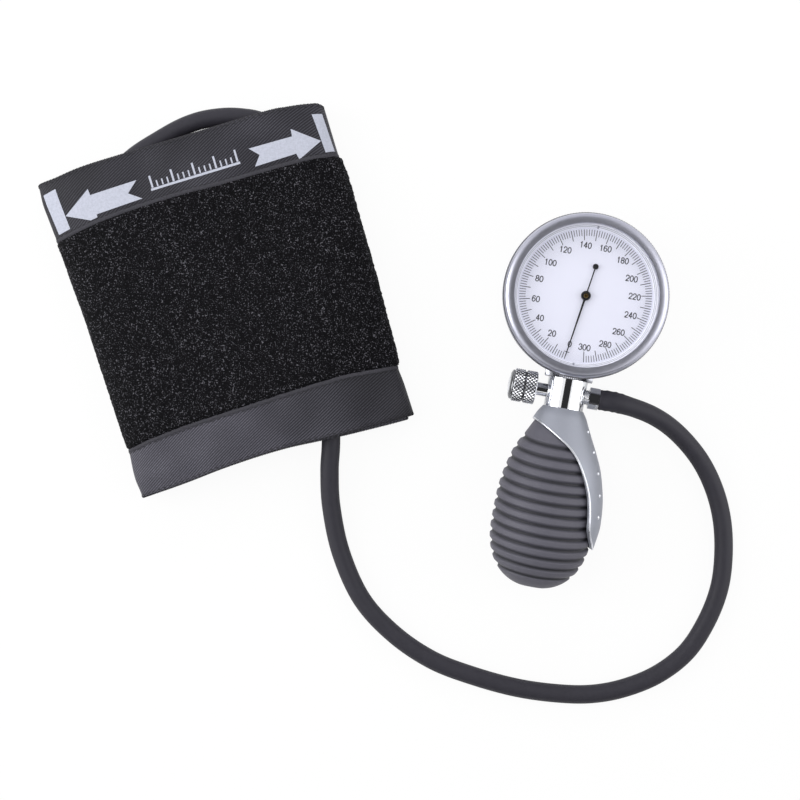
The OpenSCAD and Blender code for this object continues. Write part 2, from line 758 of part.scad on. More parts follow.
module valve_ring() {
    color([0.1, 0.1, 0.1]) on_valve() o_ring(spindle_d / 2 - 0.05, ring_t - 0.1, ring_x);
}

module release_knob() {
    groove = knob_in + knob_len * 0.52;
    color([0.7, 0.71, 0.74]) on_valve() difference() {
        union() {
            rod(knob_d / 2, knob_in, knob_in + knob_len);
            intersection() {
                translate([0, 0, knob_in + knob_len + knob_dome - knob_d])
                    sphere(r = knob_d, $fn = 96);
                rod(knob_d / 2 - 0.4, knob_in + knob_len - 0.5, knob_in + knob_len + 4);
            }
        }
        rod(spindle_d / 2 + slip / 5, 0, knob_in + knob_len - 2);
        ring(knob_d, knob_d / 2 - 0.6, groove - 0.4, groove + 0.4);
    }
}

module hose_nipple() {
    color([0.84, 0.85, 0.88]) on_connector() difference() {
        union() {
            rod(nipple_d / 2 - 0.6, thread_x + seal_t + slip, nut_out);
            rod(nipple_d / 2, face_x, nut_in - seat);
            rod(barb_d / 2 - 0.3, nut_out - 1, nut_out + barb_len);
            for (k = [0 : 2]) translate([0, 0, nut_out + 2 + k * 2.6])
                cylinder(r1 = barb_d / 2, r2 = barb_d / 2 - 0.3, h = 2, $fn = 32);
        }
        rod(1.2, 0, through);
    }
}

module hose_nut() {
    color([0.86, 0.87, 0.89]) on_connector() difference() {
        intersection() {
            translate([0, 0, nut_in]) rotate([0, 0, 30])
                cylinder(d = nut_af / cos(30), h = nut_len - seat, $fn = 6);
            rod(nut_af / 2 + 0.45, nut_in, nut_out);
        }
        rod(nipple_d / 2 - 0.6 + slip, 0, through);
    }
}

module nipple_seal() {
    color([0.1, 0.1, 0.1]) on_connector()
        ring(nipple_d / 2 - 0.7, bore_d / 2 - 0.2, thread_x + slip / 2, thread_x + seal_t);
}

module outlet_seat() {
    color([0.75, 0.62, 0.36]) on_axis()
        ring(outlet_bore - slip, 1.2, outlet_seat_s, outlet_seat_s + outlet_seat_t);
}

module outlet_flap() {
    color([0.15, 0.15, 0.16]) on_axis()
        rod(flap_r, outlet_seat_s - seat - flap_t, outlet_seat_s - seat);
}

// Radius of the bulb's rib tops at s along the axis
function bulb_at(s) = s < bulb_widest
    ? bulb_top_d / 2 + (bulb_r - bulb_top_d / 2)
        * sin(90 * pow(max(0, s - bulb_top) / (bulb_widest - bulb_top), 0.7))
    : bulb_r * pow(max(0, 1 - pow((s - bulb_widest) / (bulb_end - bulb_widest), 2.2)), 1 / 2.2);

// The bulb is smooth above its first rib and below its last
smooth_top = 8;
smooth_end = 9;
ribs_from = bulb_top + smooth_top;
ribs_to = bulb_end - smooth_end;
function rib_dip(s) =
    let (f = (s - ribs_from) / (ribs_to - ribs_from) * bulb_ribs, g = abs(f - round(f)))
    f < -0.3 || f > bulb_ribs + 0.3 ? 0 : groove_depth * pow(max(0, 1 - g / 0.3), 0.8);

module bulb() {
    step = (ribs_to - ribs_from) / bulb_ribs / 6;
    outer = [for (s = [bulb_top : step : bulb_end - 1]) [bulb_at(s) - rib_dip(s), s]];
    tail = [for (k = [1 : 4]) let (s = bulb_end - 1 + k / 4) [bulb_at(s), s]];
    inner = [for (s = [bulb_end - bulb_wall : -2.5 : bulb_top + 3])
        [max(neck_d / 2 + slip, bulb_at(min(s + 1, bulb_end - 0.3)) - bulb_wall - groove_depth / 2), s]];
    color([0.3, 0.3, 0.33]) on_axis() difference() {
        rotate_extrude($fn = 96) polygon(concat(
            [[0, bulb_top]], outer, tail, [[0, bulb_end]]
        ));
        rotate_extrude($fn = 96) polygon(concat(
            [[0, bulb_end - end_valve_len + 1]],
            [[end_valve_d / 2 + 0.6, bulb_end - end_valve_len + 1]],
            [for (p = inner) if (p[1] < bulb_end - 5 && p[1] > neck_end - 3) p],
            [[0, neck_end - 3]]
        ));
        rod(neck_d / 2 + slip, bulb_top - 1, neck_end);
        rod(end_valve_d / 2 + slip, bulb_end - end_valve_len - 1, bulb_end + 1);
    }
}

// Inside of the spoon's shell at s along the axis
function spoon_in(s) = bulb_at(max(s, bulb_top)) + spoon_gap
    + spoon_bow * sin(180 * max(0, s - bulb_top) / (spoon_end - bulb_top));

// Edge of the spoon, seen along the dial: across, and down from the spoon's top.
// The shares are of the bulb's radius and of the spoon's length.
spoon_edge = [
    [-0.8, 0.03], [-0.52, 0.1], [-0.29, 0.14], [-0.02, 0.207], [0.275, 0.31], [0.508, 0.427],
    [0.672, 0.553], [0.773, 0.688], [0.824, 0.828], [0.87, 0.87], [1.08, 1]
];

module spoon() {
    outer = [for (k = [0 : 16]) let (s = bulb_top + (spoon_end - bulb_top) * k / 16)
        [spoon_in(s) + spoon_wall, s]];
    inner = [for (k = [16 : -1 : 0]) let (s = bulb_top + (spoon_end - bulb_top) * k / 16)
        [spoon_in(s), s]];
    edge = [for (p = curve(spoon_edge, 3)) [p[0] * bulb_r, p[1] * spoon_len + spoon_top]];
    web_low = shoulder_s + seat;
    color([0.66, 0.67, 0.71]) on_axis() {
        intersection() {
            rotate_extrude($fn = 96) polygon(concat(
                [[neck_d / 2 + 2 * slip, web_low], [manifold_d / 2 + 2 * slip, web_low],
                    [manifold_d / 2 + 2 * slip, spoon_top], [manifold_d / 2 + 0.8, spoon_top]],
                outer, inner,
                [[bulb_top_d / 2, web_low + web_t], [neck_d / 2 + 2 * slip, web_low + web_t]]
            ));
            rotate([90, 0, 0]) translate([0, 0, -2 * bulb_r])
                linear_extrude(4 * bulb_r) polygon(concat(
                    [[-2 * bulb_r, spoon_top - 1], [-2 * bulb_r, edge[0][1]]], edge,
                    [[2 * bulb_r, spoon_end], [2 * bulb_r, spoon_top - 1]]
                ));
        }
        for (k = [0 : 4]) for (side = [-1, 1])
            let (s = spoon_top + spoon_len * (0.14 + 0.152 * k), tilt = 16 * side,
                r = spoon_in(s) + spoon_wall)
            translate([r * cos(tilt), r * sin(tilt), s]) sphere(d = bump_d, $fn = 24);
    }
}

module end_valve_body() {
    color([0.72, 0.73, 0.75]) on_axis() difference() {
        rod(end_valve_d / 2, end_s - end_valve_len, end_s);
        rod(end_bore, end_seat_s - flap_room, end_s + 1);
        rod(2, 0, end_s);
    }
}

module end_valve_seat() {
    color([0.75, 0.62, 0.36]) on_axis()
        ring(end_bore - slip, 1.3, end_seat_s, end_seat_s + end_seat_t);
}

module end_valve_flap() {
    color([0.15, 0.15, 0.16]) on_axis() rod(flap_r + 0.3, end_seat_s - seat - flap_t, end_seat_s - seat);
}

module end_valve_filter() {
    color([0.8, 0.8, 0.78]) on_axis() ring(end_bore - slip, 0.6, end_seat_s + end_seat_t + seat, end_s - 0.6);
}

// A round tube of flat facets swept along a path
module swept_tube(path, r, sides) {
    n = len(path);
    points = [for (i = [0 : n - 1])
        let (t = unit(path[min(i + 1, n - 1)] - path[max(i - 1, 0)]),
            side = unit(cross(t, [0, 0, 1])), up = cross(side, t))
        for (k = [0 : sides - 1])
            path[i] + r * (cos(360 * (k + 0.5) / sides) * side + sin(360 * (k + 0.5) / sides) * up)];
    walls = [for (i = [0 : n - 2]) for (k = [0 : sides - 1])
        let (a = i * sides + k, b = i * sides + (k + 1) % sides)
        each [[a, b, b + sides], [a, b + sides, a + sides]]];
    near = [for (k = [1 : sides - 2]) [0, k + 1, k]];
    last = (n - 1) * sides;
    far = [for (k = [1 : sides - 2]) [last, last + k, last + k + 1]];
    polyhedron(points, concat(walls, near, far), convexity = 10);
}

module hose() {
    color([0.2, 0.2, 0.22]) swept_tube(hose_route, hose_d / 2, 12);
}

// A point of the roll's section, at depth q inside its outermost turn
function round_pow(v, n) = sign(v) * pow(abs(v), 2 / n);
function roll_point(a, q) =
    let (depth = q + layer_pitch * a / 360, n = sin(a) < 0 ? round_bottom : round_top)
    [(roll_wide - depth) * round_pow(cos(a), n), roll_z + (roll_half - depth) * round_pow(sin(a), n)];
function lift(p) = [p[0], max(0, p[1])];

// A strip of the roll's section, between two angles and two depths
module roll_strip(a0, a1, q0, q1) {
    step = 7.5;
    polygon(concat(
        [for (a = [a0 : step : a1]) lift(roll_point(a, q0))],
        [for (a = [a1 : -step : a0]) roll_point(a, q1)]
    ));
}

// Stands a section of the roll up along the cuff, from y0 to y1
module along_cuff(y0, y1) {
    on_cuff() translate([0, y1, 0]) rotate([90, 0, 0]) linear_extrude(y1 - y0, convexity = 10) children();
}

// The same with both ends cut to the bow of the cuff's long edges
module along_bow(y0, y1) {
    intersection() {
        along_cuff(y0 - edge_bow, y1 + edge_bow) children();
        on_cuff() difference() {
            bow_disc(y1);
            bow_disc(y0);
        }
    }
}
module bow_disc(y) {
    translate([0, y + edge_bow - bow_r, -1]) cylinder(r = bow_r, h = 3 * roll_half, $fn = 720);
}

module cuff_cover() {
    color([0.16, 0.16, 0.19]) difference() {
        along_bow(-cuff_h / 2, cuff_h / 2) roll_strip(0, roll_end, 0, cuff_layer);
        along_cuff(-bladder_h / 2, bladder_h / 2)
            roll_strip(bladder_span[0], bladder_span[1], bladder_skin - slip,
                bladder_skin + bladder_t + slip);
        translate([port_to[0], port_to[1], port_foot])
            cylinder(r = port_foot_r + slip, h = port_to[2] - port_foot, $fn = 32);
    }
}

module pile_panel() {
    color([0.08, 0.08, 0.09]) along_bow(pile_low, pile_high)
        roll_strip(pile_span[0], pile_span[1], -pile_t, -slip);
}

module hook_panel() {
    color([0.1, 0.1, 0.11]) along_cuff(pile_low, pile_low + hook_h)
        roll_strip(hook_span[0], hook_span[1], cuff_layer + slip, cuff_layer + hook_t);
}

module bladder() {
    end = bladder_h / 2 - 5 * slip;
    color([0.22, 0.2, 0.2]) along_cuff(-end, end) roll_strip(
        bladder_span[0] + bladder_play, bladder_span[1] - bladder_play,
        bladder_skin, bladder_skin + bladder_t
    );
}

module bladder_port() {
    run = port_to - port_from;
    color([0.2, 0.2, 0.2]) {
        translate(port_from) rotate([0, 90, atan2(run[1], run[0])])
            cylinder(r = port_r, h = port_len, $fn = 32);
        translate([port_to[0], port_to[1], port_foot])
            cylinder(r = port_foot_r, h = port_to[2] - port_foot, $fn = 32);
    }
}

gauge_case();
bezel_ring();
lens();
lens_gasket();
lens_ring();
dial_plate();
pointer();
pointer_bush();
pinion();
hairspring();
sector_gear();
sector_arbor();
rocking_shaft();
lower_plate();
upper_plate();
pillars();
movement_screws();
capsule_base();
capsule_top();
capsule_stud();
pressure_tube();
stem_block();
manifold();
saddle();
stub_seal();
valve_bush();
valve_spindle();
valve_ring();
release_knob();
hose_nipple();
hose_nut();
nipple_seal();
outlet_seat();
outlet_flap();
bulb();
spoon();
end_valve_body();
end_valve_seat();
end_valve_flap();
end_valve_filter();
hose();
cuff_cover();
pile_panel();
hook_panel();
bladder();
bladder_port();
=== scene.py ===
import math

import bmesh
import bpy
import numpy as np
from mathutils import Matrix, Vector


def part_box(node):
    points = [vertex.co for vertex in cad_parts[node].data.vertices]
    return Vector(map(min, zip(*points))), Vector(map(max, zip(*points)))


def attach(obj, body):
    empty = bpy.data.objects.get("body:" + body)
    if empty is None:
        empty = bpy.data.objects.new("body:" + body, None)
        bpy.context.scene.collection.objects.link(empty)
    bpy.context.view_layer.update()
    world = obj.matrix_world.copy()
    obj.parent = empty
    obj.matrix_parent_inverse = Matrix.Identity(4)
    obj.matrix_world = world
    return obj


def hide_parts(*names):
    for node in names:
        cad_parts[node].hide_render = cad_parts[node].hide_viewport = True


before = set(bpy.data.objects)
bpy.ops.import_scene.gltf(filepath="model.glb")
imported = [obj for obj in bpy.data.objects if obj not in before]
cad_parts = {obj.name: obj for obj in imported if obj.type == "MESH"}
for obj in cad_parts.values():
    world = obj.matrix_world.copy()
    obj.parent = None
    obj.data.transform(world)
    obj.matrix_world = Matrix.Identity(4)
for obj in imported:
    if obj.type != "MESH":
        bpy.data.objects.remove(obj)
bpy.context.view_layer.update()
mm = 0.001
print("frame loaded:", len(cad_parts), "nodes")

# Camera straight above the table, as the photo was taken
cameraPlan = {
    "at": (0.021, -0.0235, 0.85),
    "lens": 88.0,
    "sensor": 36.0,
}

cameraData = bpy.data.cameras.new("aboveTable")
cameraData.lens = cameraPlan["lens"]
cameraData.sensor_width = cameraPlan["sensor"]
cameraData.clip_start = 0.01
cameraData.clip_end = 20
cameraObject = bpy.data.objects.new("aboveTable", cameraData)
cameraObject.location = cameraPlan["at"]
bpy.context.scene.collection.objects.link(cameraObject)
bpy.context.scene.camera = cameraObject
bpy.context.scene.view_settings.view_transform = "Standard"


# Places of the gauge unit and of the cuff on the table, in millimetres
def middleOf(node):
    low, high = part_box(node)
    return (low + high) / 2 / mm


hub = middleOf("bezel_ring")
unitPlan = {
    "turn": -10.3,       # degrees, clockwise is negative
    "axisHeight": 21.6,  # bulb's axis above the table
    "ports": 41.6,       # valve and hose line, from the hub down the axis
}
cuffPlace = {"middle": (-52.844, 18.677), "turn": 17.0}


def turned(x, y, degrees):
    c, s = math.cos(math.radians(degrees)), math.sin(math.radians(degrees))
    return x * c - y * s, x * s + y * c


def onUnit(points):
    x, y = turned(points[..., 0], points[..., 1], unitPlan["turn"])
    return np.stack([x + hub[0], y + hub[1], points[..., 2]], -1)


def onAxis(points):  # x across, y up, third is down the bulb's axis
    flat = [points[..., 0], -points[..., 2], points[..., 1] + unitPlan["axisHeight"]]
    return onUnit(np.stack(flat, -1))


def onValve(points):  # third is out to the left, along the knob
    flat = [-points[..., 2], points[..., 1] - unitPlan["ports"], points[..., 0] + unitPlan["axisHeight"]]
    return onUnit(np.stack(flat, -1))


def onConnector(points):  # third is out to the right, along the hose nipple
    flat = [points[..., 2], points[..., 1] - unitPlan["ports"], unitPlan["axisHeight"] - points[..., 0]]
    return onUnit(np.stack(flat, -1))


def onCuff(points):
    x, y = turned(points[..., 0], points[..., 1], cuffPlace["turn"])
    return np.stack([x + cuffPlace["middle"][0], y + cuffPlace["middle"][1], points[..., 2]], -1)


# Mesh tools
def gridFaces(rows, columns, closeRows=False, closeColumns=False):
    r = np.arange(rows if closeRows else rows - 1)
    c = np.arange(columns if closeColumns else columns - 1)
    r, c = np.meshgrid(r, c, indexing="ij")
    rNext, cNext = (r + 1) % rows, (c + 1) % columns
    corners = [r * columns + c, rNext * columns + c, rNext * columns + cNext, r * columns + cNext]
    return np.stack(corners, -1).reshape(-1, 4).tolist()


def joined(parts):  # several meshes, each with its points and faces, as one
    points, faces = [], []
    count = 0
    for spots, made in parts:
        points.append(np.reshape(spots, (-1, 3)))
        faces += [[count + k for k in face] for face in made]
        count += len(points[-1])
    return np.concatenate(points), faces


def addPiece(name, points, faces, look, replaced=None, body="frame", sharp=40, uv=None, paintedShade=None):
    mesh = bpy.data.meshes.new(name)
    mesh.from_pydata((points.reshape(-1, 3) * mm).tolist(), [], faces)
    mesh.materials.append(finishes[look])
    if uv is not None:
        loopPoint = np.zeros(len(mesh.loops), np.int32)
        mesh.loops.foreach_get("vertex_index", loopPoint)
        layer = mesh.uv_layers.new(name="cloth")
        layer.uv.foreach_set("vector", (uv.reshape(-1, 2)[loopPoint] * mm).ravel())
    if paintedShade is not None:  # painted shade: share of each point's depth in a groove, which the finish darkens as shade would
        mesh.attributes.new("paintedShade", "FLOAT", "POINT").data.foreach_set("value", np.float32(paintedShade.ravel()))
    shaped = bmesh.new()
    shaped.from_mesh(mesh)
    bmesh.ops.recalc_face_normals(shaped, faces=shaped.faces)
    shaped.to_mesh(mesh)
    shaped.free()
    mesh.polygons.foreach_set("use_smooth", [True] * len(mesh.polygons))
    mesh.set_sharp_from_angle(angle=math.radians(sharp))
    mesh.update()
    piece = bpy.data.objects.new(name, mesh)
    bpy.context.scene.collection.objects.link(piece)
    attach(piece, body)
    if replaced:
        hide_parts(replaced)
    return piece


def spin(profile, count, dent=None):
    profile = np.array(profile, float)
    around = np.arange(count) * 2 * math.pi / count
    radius = profile[None, :, 0] + np.zeros((count, 1))
    if dent is not None:
        radius = radius - dent(around[:, None], profile[None, :, 0], profile[None, :, 1])
    x = radius * np.cos(around)[:, None]
    y = radius * np.sin(around)[:, None]
    return np.stack([x, y, profile[None, :, 1] + 0 * x], -1)


def step(low, high, value):
    share = np.clip((value - low) / (high - low), 0, 1)
    return share * share * (3 - 2 * share)


def smoothPath(points, steps):
    p = np.array(points, float)
    found = []
    for i in range(len(p) - 1):
        a, b, c, d = p[max(i - 1, 0)], p[i], p[i + 1], p[min(i + 2, len(p) - 1)]
        for t in np.arange(steps) / steps:
            found.append(0.5 * (2 * b + (c - a) * t + (2 * a - 5 * b + 4 * c - d) * t * t
                                + (3 * b - a - 3 * c + d) * t ** 3))
    return np.array(found + [p[-1]])


def smoothTable(pairs, steps=8):  # for np.interp, a curve through a few pairs of place and value
    path = smoothPath([(at, value, 0) for at, value in pairs], steps)
    return path[:, 0], path[:, 1]


def distances(path):  # from the start of a path to each of its points
    return np.concatenate([[0], np.cumsum(np.linalg.norm(np.diff(path, axis=0), axis=1))])


def blurred(values, width):
    weights = np.hanning(width)
    padded = np.pad(values, width // 2, mode="reflect", reflect_type="odd")
    return np.convolve(padded, weights / weights.sum(), mode="valid")


def tubePoints(path, radii, sides, up=(0, 0, 1)):
    path = np.array(path, float)
    along = np.gradient(path, axis=0)
    along /= np.linalg.norm(along, axis=1)[:, None]
    side = np.cross(along, up)
    side /= np.linalg.norm(side, axis=1)[:, None]
    lift = np.cross(side, along)
    around = np.arange(sides) * 2 * math.pi / sides
    radii = np.broadcast_to(np.array(radii, float), (len(path),))
    wide = np.cos(around)[None, :, None] * side[:, None, :]
    tall = np.sin(around)[None, :, None] * lift[:, None, :]
    return path[:, None, :] + radii[:, None, None] * (wide + tall)


def foldedFaces(rows, across):  # a closed strip whose second half lies under the first, with both ends shut
    faces = gridFaces(rows, across, closeColumns=True)
    for first in (0, (rows - 1) * across):
        last = first + across - 1
        faces += [[first + k, first + k + 1, last - 1 - k, last - k] for k in range(across // 2 - 1)]
    return faces


def tubeFaces(rings, sides):
    last = (rings - 1) * sides
    caps = [list(range(sides)), list(range(last, last + sides))]
    return gridFaces(rings, sides, closeColumns=True) + caps


def latticeNoise(seed, size):
    values = np.random.default_rng(seed).random((size, size))

    def at(x, y):
        x0, y0 = np.floor(x).astype(int), np.floor(y).astype(int)
        fx, fy = step(0, 1, x - x0), step(0, 1, y - y0)
        a, b = values[x0 % size, y0 % size], values[(x0 + 1) % size, y0 % size]
        c, d = values[x0 % size, (y0 + 1) % size], values[(x0 + 1) % size, (y0 + 1) % size]
        return (a * (1 - fx) + b * fx) * (1 - fy) + (c * (1 - fx) + d * fx) * fy

    return at


# Material tools
def shade(r, g, b):  # a colour as a screen shows it, 0 to 255
    def linear(v):
        v /= 255
        return v / 12.92 if v <= 0.04045 else ((v + 0.055) / 1.055) ** 2.4
    return (linear(r), linear(g), linear(b), 1)


def newFinish(name, inputs):
    finish = bpy.data.materials.new(name)
    finish.use_nodes = True
    tree = finish.node_tree
    shader = tree.nodes["Principled BSDF"]
    for key, value in inputs.items():
        shader.inputs[key].default_value = value
    return finish, tree, shader


def addNode(tree, kind, inputs=None, **settings):  # each input is another node's output or a constant
    node = tree.nodes.new(kind)
    for key, value in settings.items():
        setattr(node, key, value)
    for key, value in (inputs or {}).items():
        if hasattr(value, "is_output"):
            tree.links.new(value, node.inputs[key])
        else:
            node.inputs[key].default_value = value
    return node


def objectPlace(tree):
    return addNode(tree, "ShaderNodeTexCoord").outputs["Object"]


def noiseAt(tree, place, scale, detail=2.0, roughness=0.5):
    inputs = {"Vector": place, "Scale": scale, "Detail": detail, "Roughness": roughness}
    return addNode(tree, "ShaderNodeTexNoise", inputs).outputs["Fac"]


def combined(tree, operation, first, second):
    return addNode(tree, "ShaderNodeMath", {0: first, 1: second}, operation=operation).outputs[0]


def mixColours(tree, share, first, second):
    inputs = {"Factor": share, 6: first, 7: second}
    return addNode(tree, "ShaderNodeMix", inputs, data_type="RGBA").outputs[2]


def rangeOf(tree, value, fromLow, fromHigh, toLow, toHigh):
    inputs = {"Value": value, "From Min": fromLow, "From Max": fromHigh, "To Min": toLow, "To Max": toHigh}
    return addNode(tree, "ShaderNodeMapRange", inputs).outputs["Result"]


def bumpFrom(tree, shader, height, strength, distance):
    bump = addNode(tree, "ShaderNodeBump", {"Height": height, "Strength": strength, "Distance": distance})
    tree.links.new(bump.outputs["Normal"], shader.inputs["Normal"])


def setSurface(tree, node):
    tree.links.new(node.outputs[0], tree.nodes["Material Output"].inputs["Surface"])


# Plain finishes: dark and light colour, size of the mottling, roughness, bump and its distance, and extras
# The extra shade colour in some finishes is painted shade, laid into grooves, knurls and edges
mottledPlan = {
    "satinSilver": ((186, 187, 200), (196, 197, 210), 900, (0.34, 0.4), 0.1, 0.00002,
                    {"metal": 1.0, "paintedShade": (150, 150, 158)}),
    "spoonSilver": ((150, 153, 163), (160, 163, 173), 1500, (0.46, 0.54), 0.15, 0.00002, {"metal": 0.6}),
    "brightLip": ((228, 230, 237), (236, 238, 244), 700, (0.26, 0.32), 0.05, 0.00001, {"metal": 1.0}),
    "caseSilver": ((160, 161, 170), (172, 173, 182), 800, (0.34, 0.42), 0.15, 0.00003, {"metal": 0.9}),
    "chrome": ((236, 237, 240), (242, 243, 246), 250, (0.03, 0.07), 0.02, 0.00001, {"metal": 1.0}),
    "rimSteel": ((176, 177, 184), (190, 191, 198), 900, (0.1, 0.16), 0.05, 0.00001,
                 {"metal": 1.0, "paintedShade": (60, 60, 66)}),
    "knurledSteel": ((243, 245, 250), (248, 249, 253), 1200, (0.2, 0.28), 0.1, 0.00001,
                     {"metal": 1.0, "paintedShade": (32, 33, 38)}),
    "machinedSteel": ((190, 192, 196), (205, 206, 210), 600, (0.22, 0.32), 0.1, 0.00002, {"metal": 1.0}),
    "blueSpring": ((70, 78, 110), (96, 104, 136), 900, (0.22, 0.3), 0.05, 0.00001, {"metal": 1.0}),
    "brass": ((186, 158, 104), (204, 176, 120), 500, (0.22, 0.34), 0.1, 0.00002, {"metal": 1.0}),
    "bronzeSheet": ((196, 156, 96), (212, 174, 116), 400, (0.25, 0.35), 0.1, 0.00002, {"metal": 1.0}),
    "sealRubber": ((26, 26, 28), (36, 36, 39), 900, (0.55, 0.7), 0.2, 0.00003, {"gloss": 0.3}),
    "hoseRubber": ((43, 42, 48), (50, 49, 56), 320, (0.45, 0.55), 0.12, 0.00004, {"gloss": 0.2}),
    "bulbRubber": ((82, 81, 90), (90, 89, 98), 420, (0.46, 0.56), 0.15, 0.00004,
                   {"gloss": 0.25, "paintedShade": (40, 40, 45)}),
    "bladderRubber": ((60, 54, 52), (74, 67, 65), 300, (0.5, 0.65), 0.2, 0.00005, {}),
    "whiteEnamel": ((214, 215, 229), (217, 218, 232), 120, (0.45, 0.55), 0.04, 0.00001, {"gloss": 0.3}),
    "whiteRing": ((234, 235, 246), (238, 239, 249), 300, (0.5, 0.6), 0.05, 0.00001,
                  {"gloss": 0.3, "paintedShade": (150, 152, 164)}),
    "blackInk": ((52, 52, 58), (64, 64, 70), 3000, (0.5, 0.6), 0.1, 0.00001, {}),
    "blackPaint": ((18, 18, 20), (28, 28, 31), 900, (0.3, 0.42), 0.1, 0.00002, {}),
    "feltWhite": ((206, 205, 198), (222, 221, 214), 1600, (0.85, 0.95), 0.5, 0.0001, {}),
    "selvedgeCloth": ((20, 20, 23), (78, 77, 84), 1900, (0.7, 0.85), 0.5, 0.0002, {"gloss": 0.2}),
    "hookPlastic": ((24, 24, 26), (58, 58, 62), 1900, (0.5, 0.7), 0.6, 0.0003, {}),
    "threadBlack": ((18, 18, 21), (34, 33, 38), 2500, (0.6, 0.75), 0.3, 0.00005, {}),
}


def mottled(name, dark, light, scale, roughness, bump, bumpDistance, extras):
    shine = {"Metallic": extras.get("metal", 0.0), "Specular IOR Level": extras.get("gloss", 0.5)}
    finish, tree, shader = newFinish(name, shine)
    place = objectPlace(tree)
    coarse = noiseAt(tree, place, scale, 4.0, 0.6)
    colour = mixColours(tree, coarse, shade(*dark), shade(*light))
    # painted shade: darkens the colour where the piece's painted-shade share is high
    if "paintedShade" in extras:
        deep = addNode(tree, "ShaderNodeAttribute", attribute_name="paintedShade").outputs["Fac"]
        colour = mixColours(tree, deep, colour, shade(*extras["paintedShade"]))
    tree.links.new(colour, shader.inputs["Base Color"])
    tree.links.new(rangeOf(tree, coarse, 0.3, 0.7, *roughness), shader.inputs["Roughness"])
    fine = noiseAt(tree, place, scale * 6, 3.0, 0.6)
    bumpFrom(tree, shader, fine, bump, bumpDistance)
    return finish


lensPlan = {
    "roughness": 0.03,
    "steepness": 5.0,
    "mirror": (0.012, 0.8),   # mirrored share, seen straight on and at a low angle
}


def clearLens():
    finish, tree, shader = newFinish("clearLens", {})
    tree.nodes.remove(shader)
    clear = addNode(tree, "ShaderNodeBsdfTransparent")
    gloss = addNode(tree, "ShaderNodeBsdfGlossy", {"Roughness": lensPlan["roughness"]})
    # Facing, not Fresnel, since a straight ray inside the slab would be mirrored at low angles
    facing = addNode(tree, "ShaderNodeLayerWeight").outputs["Facing"]
    steep = combined(tree, "POWER", facing, lensPlan["steepness"])
    share = rangeOf(tree, steep, 0.0, 1.0, *lensPlan["mirror"])
    blend = {0: share, 1: clear.outputs[0], 2: gloss.outputs[0]}
    setSurface(tree, addNode(tree, "ShaderNodeMixShader", blend))
    return finish


twillPlan = {
    "slant": -63,           # degrees
    "ribPitch": 0.00094,    # metres
    "yarn": 1400,
    "patches": 30,
    "ridge": ((84, 83, 93), (98, 97, 107)),
    "valley": ((36, 35, 41), (46, 45, 51)),
    "bandFrom": 0.0,        # metres from the strip's outer end
    "bandTo": 0.12,
    "lowBandLight": (0.27, 1.15),  # painted light and shade of each band at those two places
    "highBandLight": (0.58, 0.41),
    # painted sheen of soft folds: size of its patches, and how far they darken or lighten the cloth
    "foldSheen": 36,
    "foldLight": (0.8, 1.2),
}


def twillCloth():
    t = twillPlan
    finish, tree, shader = newFinish("twillCloth", {"Roughness": 0.6, "Specular IOR Level": 0.2,
                                                    "Sheen Weight": 0.04, "Sheen Roughness": 0.4})
    cloth = addNode(tree, "ShaderNodeUVMap", uv_map="cloth").outputs["UV"]
    lean = {"Vector": cloth, "Rotation": (0, 0, math.radians(t["slant"]))}
    slanted = addNode(tree, "ShaderNodeMapping", lean).outputs[0]
    ribs = {"Vector": slanted, "Scale": math.pi / 10 / t["ribPitch"], "Distortion": 0.0}
    twill = addNode(tree, "ShaderNodeTexWave", ribs, bands_direction="X").outputs["Fac"]
    yarn = noiseAt(tree, cloth, t["yarn"])
    patches = rangeOf(tree, noiseAt(tree, cloth, t["patches"]), 0.35, 0.65, 0.0, 1.0)
    ridge, valley = [mixColours(tree, patches, *[shade(*colour) for colour in t[part]])
                     for part in ("ridge", "valley")]
    lift = combined(tree, "MULTIPLY", twill, rangeOf(tree, yarn, 0.3, 0.7, 0.55, 1.0))
    across, along, _ = addNode(tree, "ShaderNodeSeparateXYZ", {"Vector": cloth}).outputs
    # painted light and shade: each band grows darker or lighter along the strip as the lamps fall on the laid
    # cuff, times the painted fold sheen
    lowBandLight, highBandLight = [rangeOf(tree, across, t["bandFrom"], t["bandTo"], *t[band])
                         for band in ("lowBandLight", "highBandLight")]
    level = rangeOf(tree, along, -0.05, 0.05, lowBandLight, highBandLight)
    foldSheen = rangeOf(tree, noiseAt(tree, cloth, t["foldSheen"], 1.0), 0.35, 0.65, *t["foldLight"])
    woven = mixColours(tree, lift, valley, ridge)
    lit = mixColours(tree, combined(tree, "MULTIPLY", level, foldSheen), (0, 0, 0, 1), woven)
    tree.links.new(lit, shader.inputs["Base Color"])
    bumpFrom(tree, shader, twill, 0.4, 0.0001)
    return finish


pileLook = {
    "loops": 1900.0,
    "clumps": 620,
    "clumpShare": 0.05,
    "light": (0.34, 0.57),
    "dark": (4, 4, 6),
    "bright": (104, 103, 110),
}


def pileCloth():
    p = pileLook
    finish, tree, shader = newFinish("pileCloth", {"Roughness": 0.8, "Specular IOR Level": 0.1})
    place = objectPlace(tree)
    speck = noiseAt(tree, place, p["loops"], 3.0, 0.75)
    curl = addNode(tree, "ShaderNodeTexVoronoi", {"Vector": place, "Scale": p["loops"]}).outputs["Distance"]
    both = combined(tree, "MULTIPLY", speck, curl)
    clumps = noiseAt(tree, place, p["clumps"], 3.0, 0.6)
    clump = rangeOf(tree, clumps, 0.35, 0.65, -p["clumpShare"], p["clumpShare"])
    lit = rangeOf(tree, combined(tree, "ADD", both, clump), *p["light"], 0.0, 1.0)
    colour = mixColours(tree, lit, shade(*p["dark"]), shade(*p["bright"]))
    tree.links.new(colour, shader.inputs["Base Color"])
    bumpFrom(tree, shader, both, 0.5, 0.0002)
    return finish


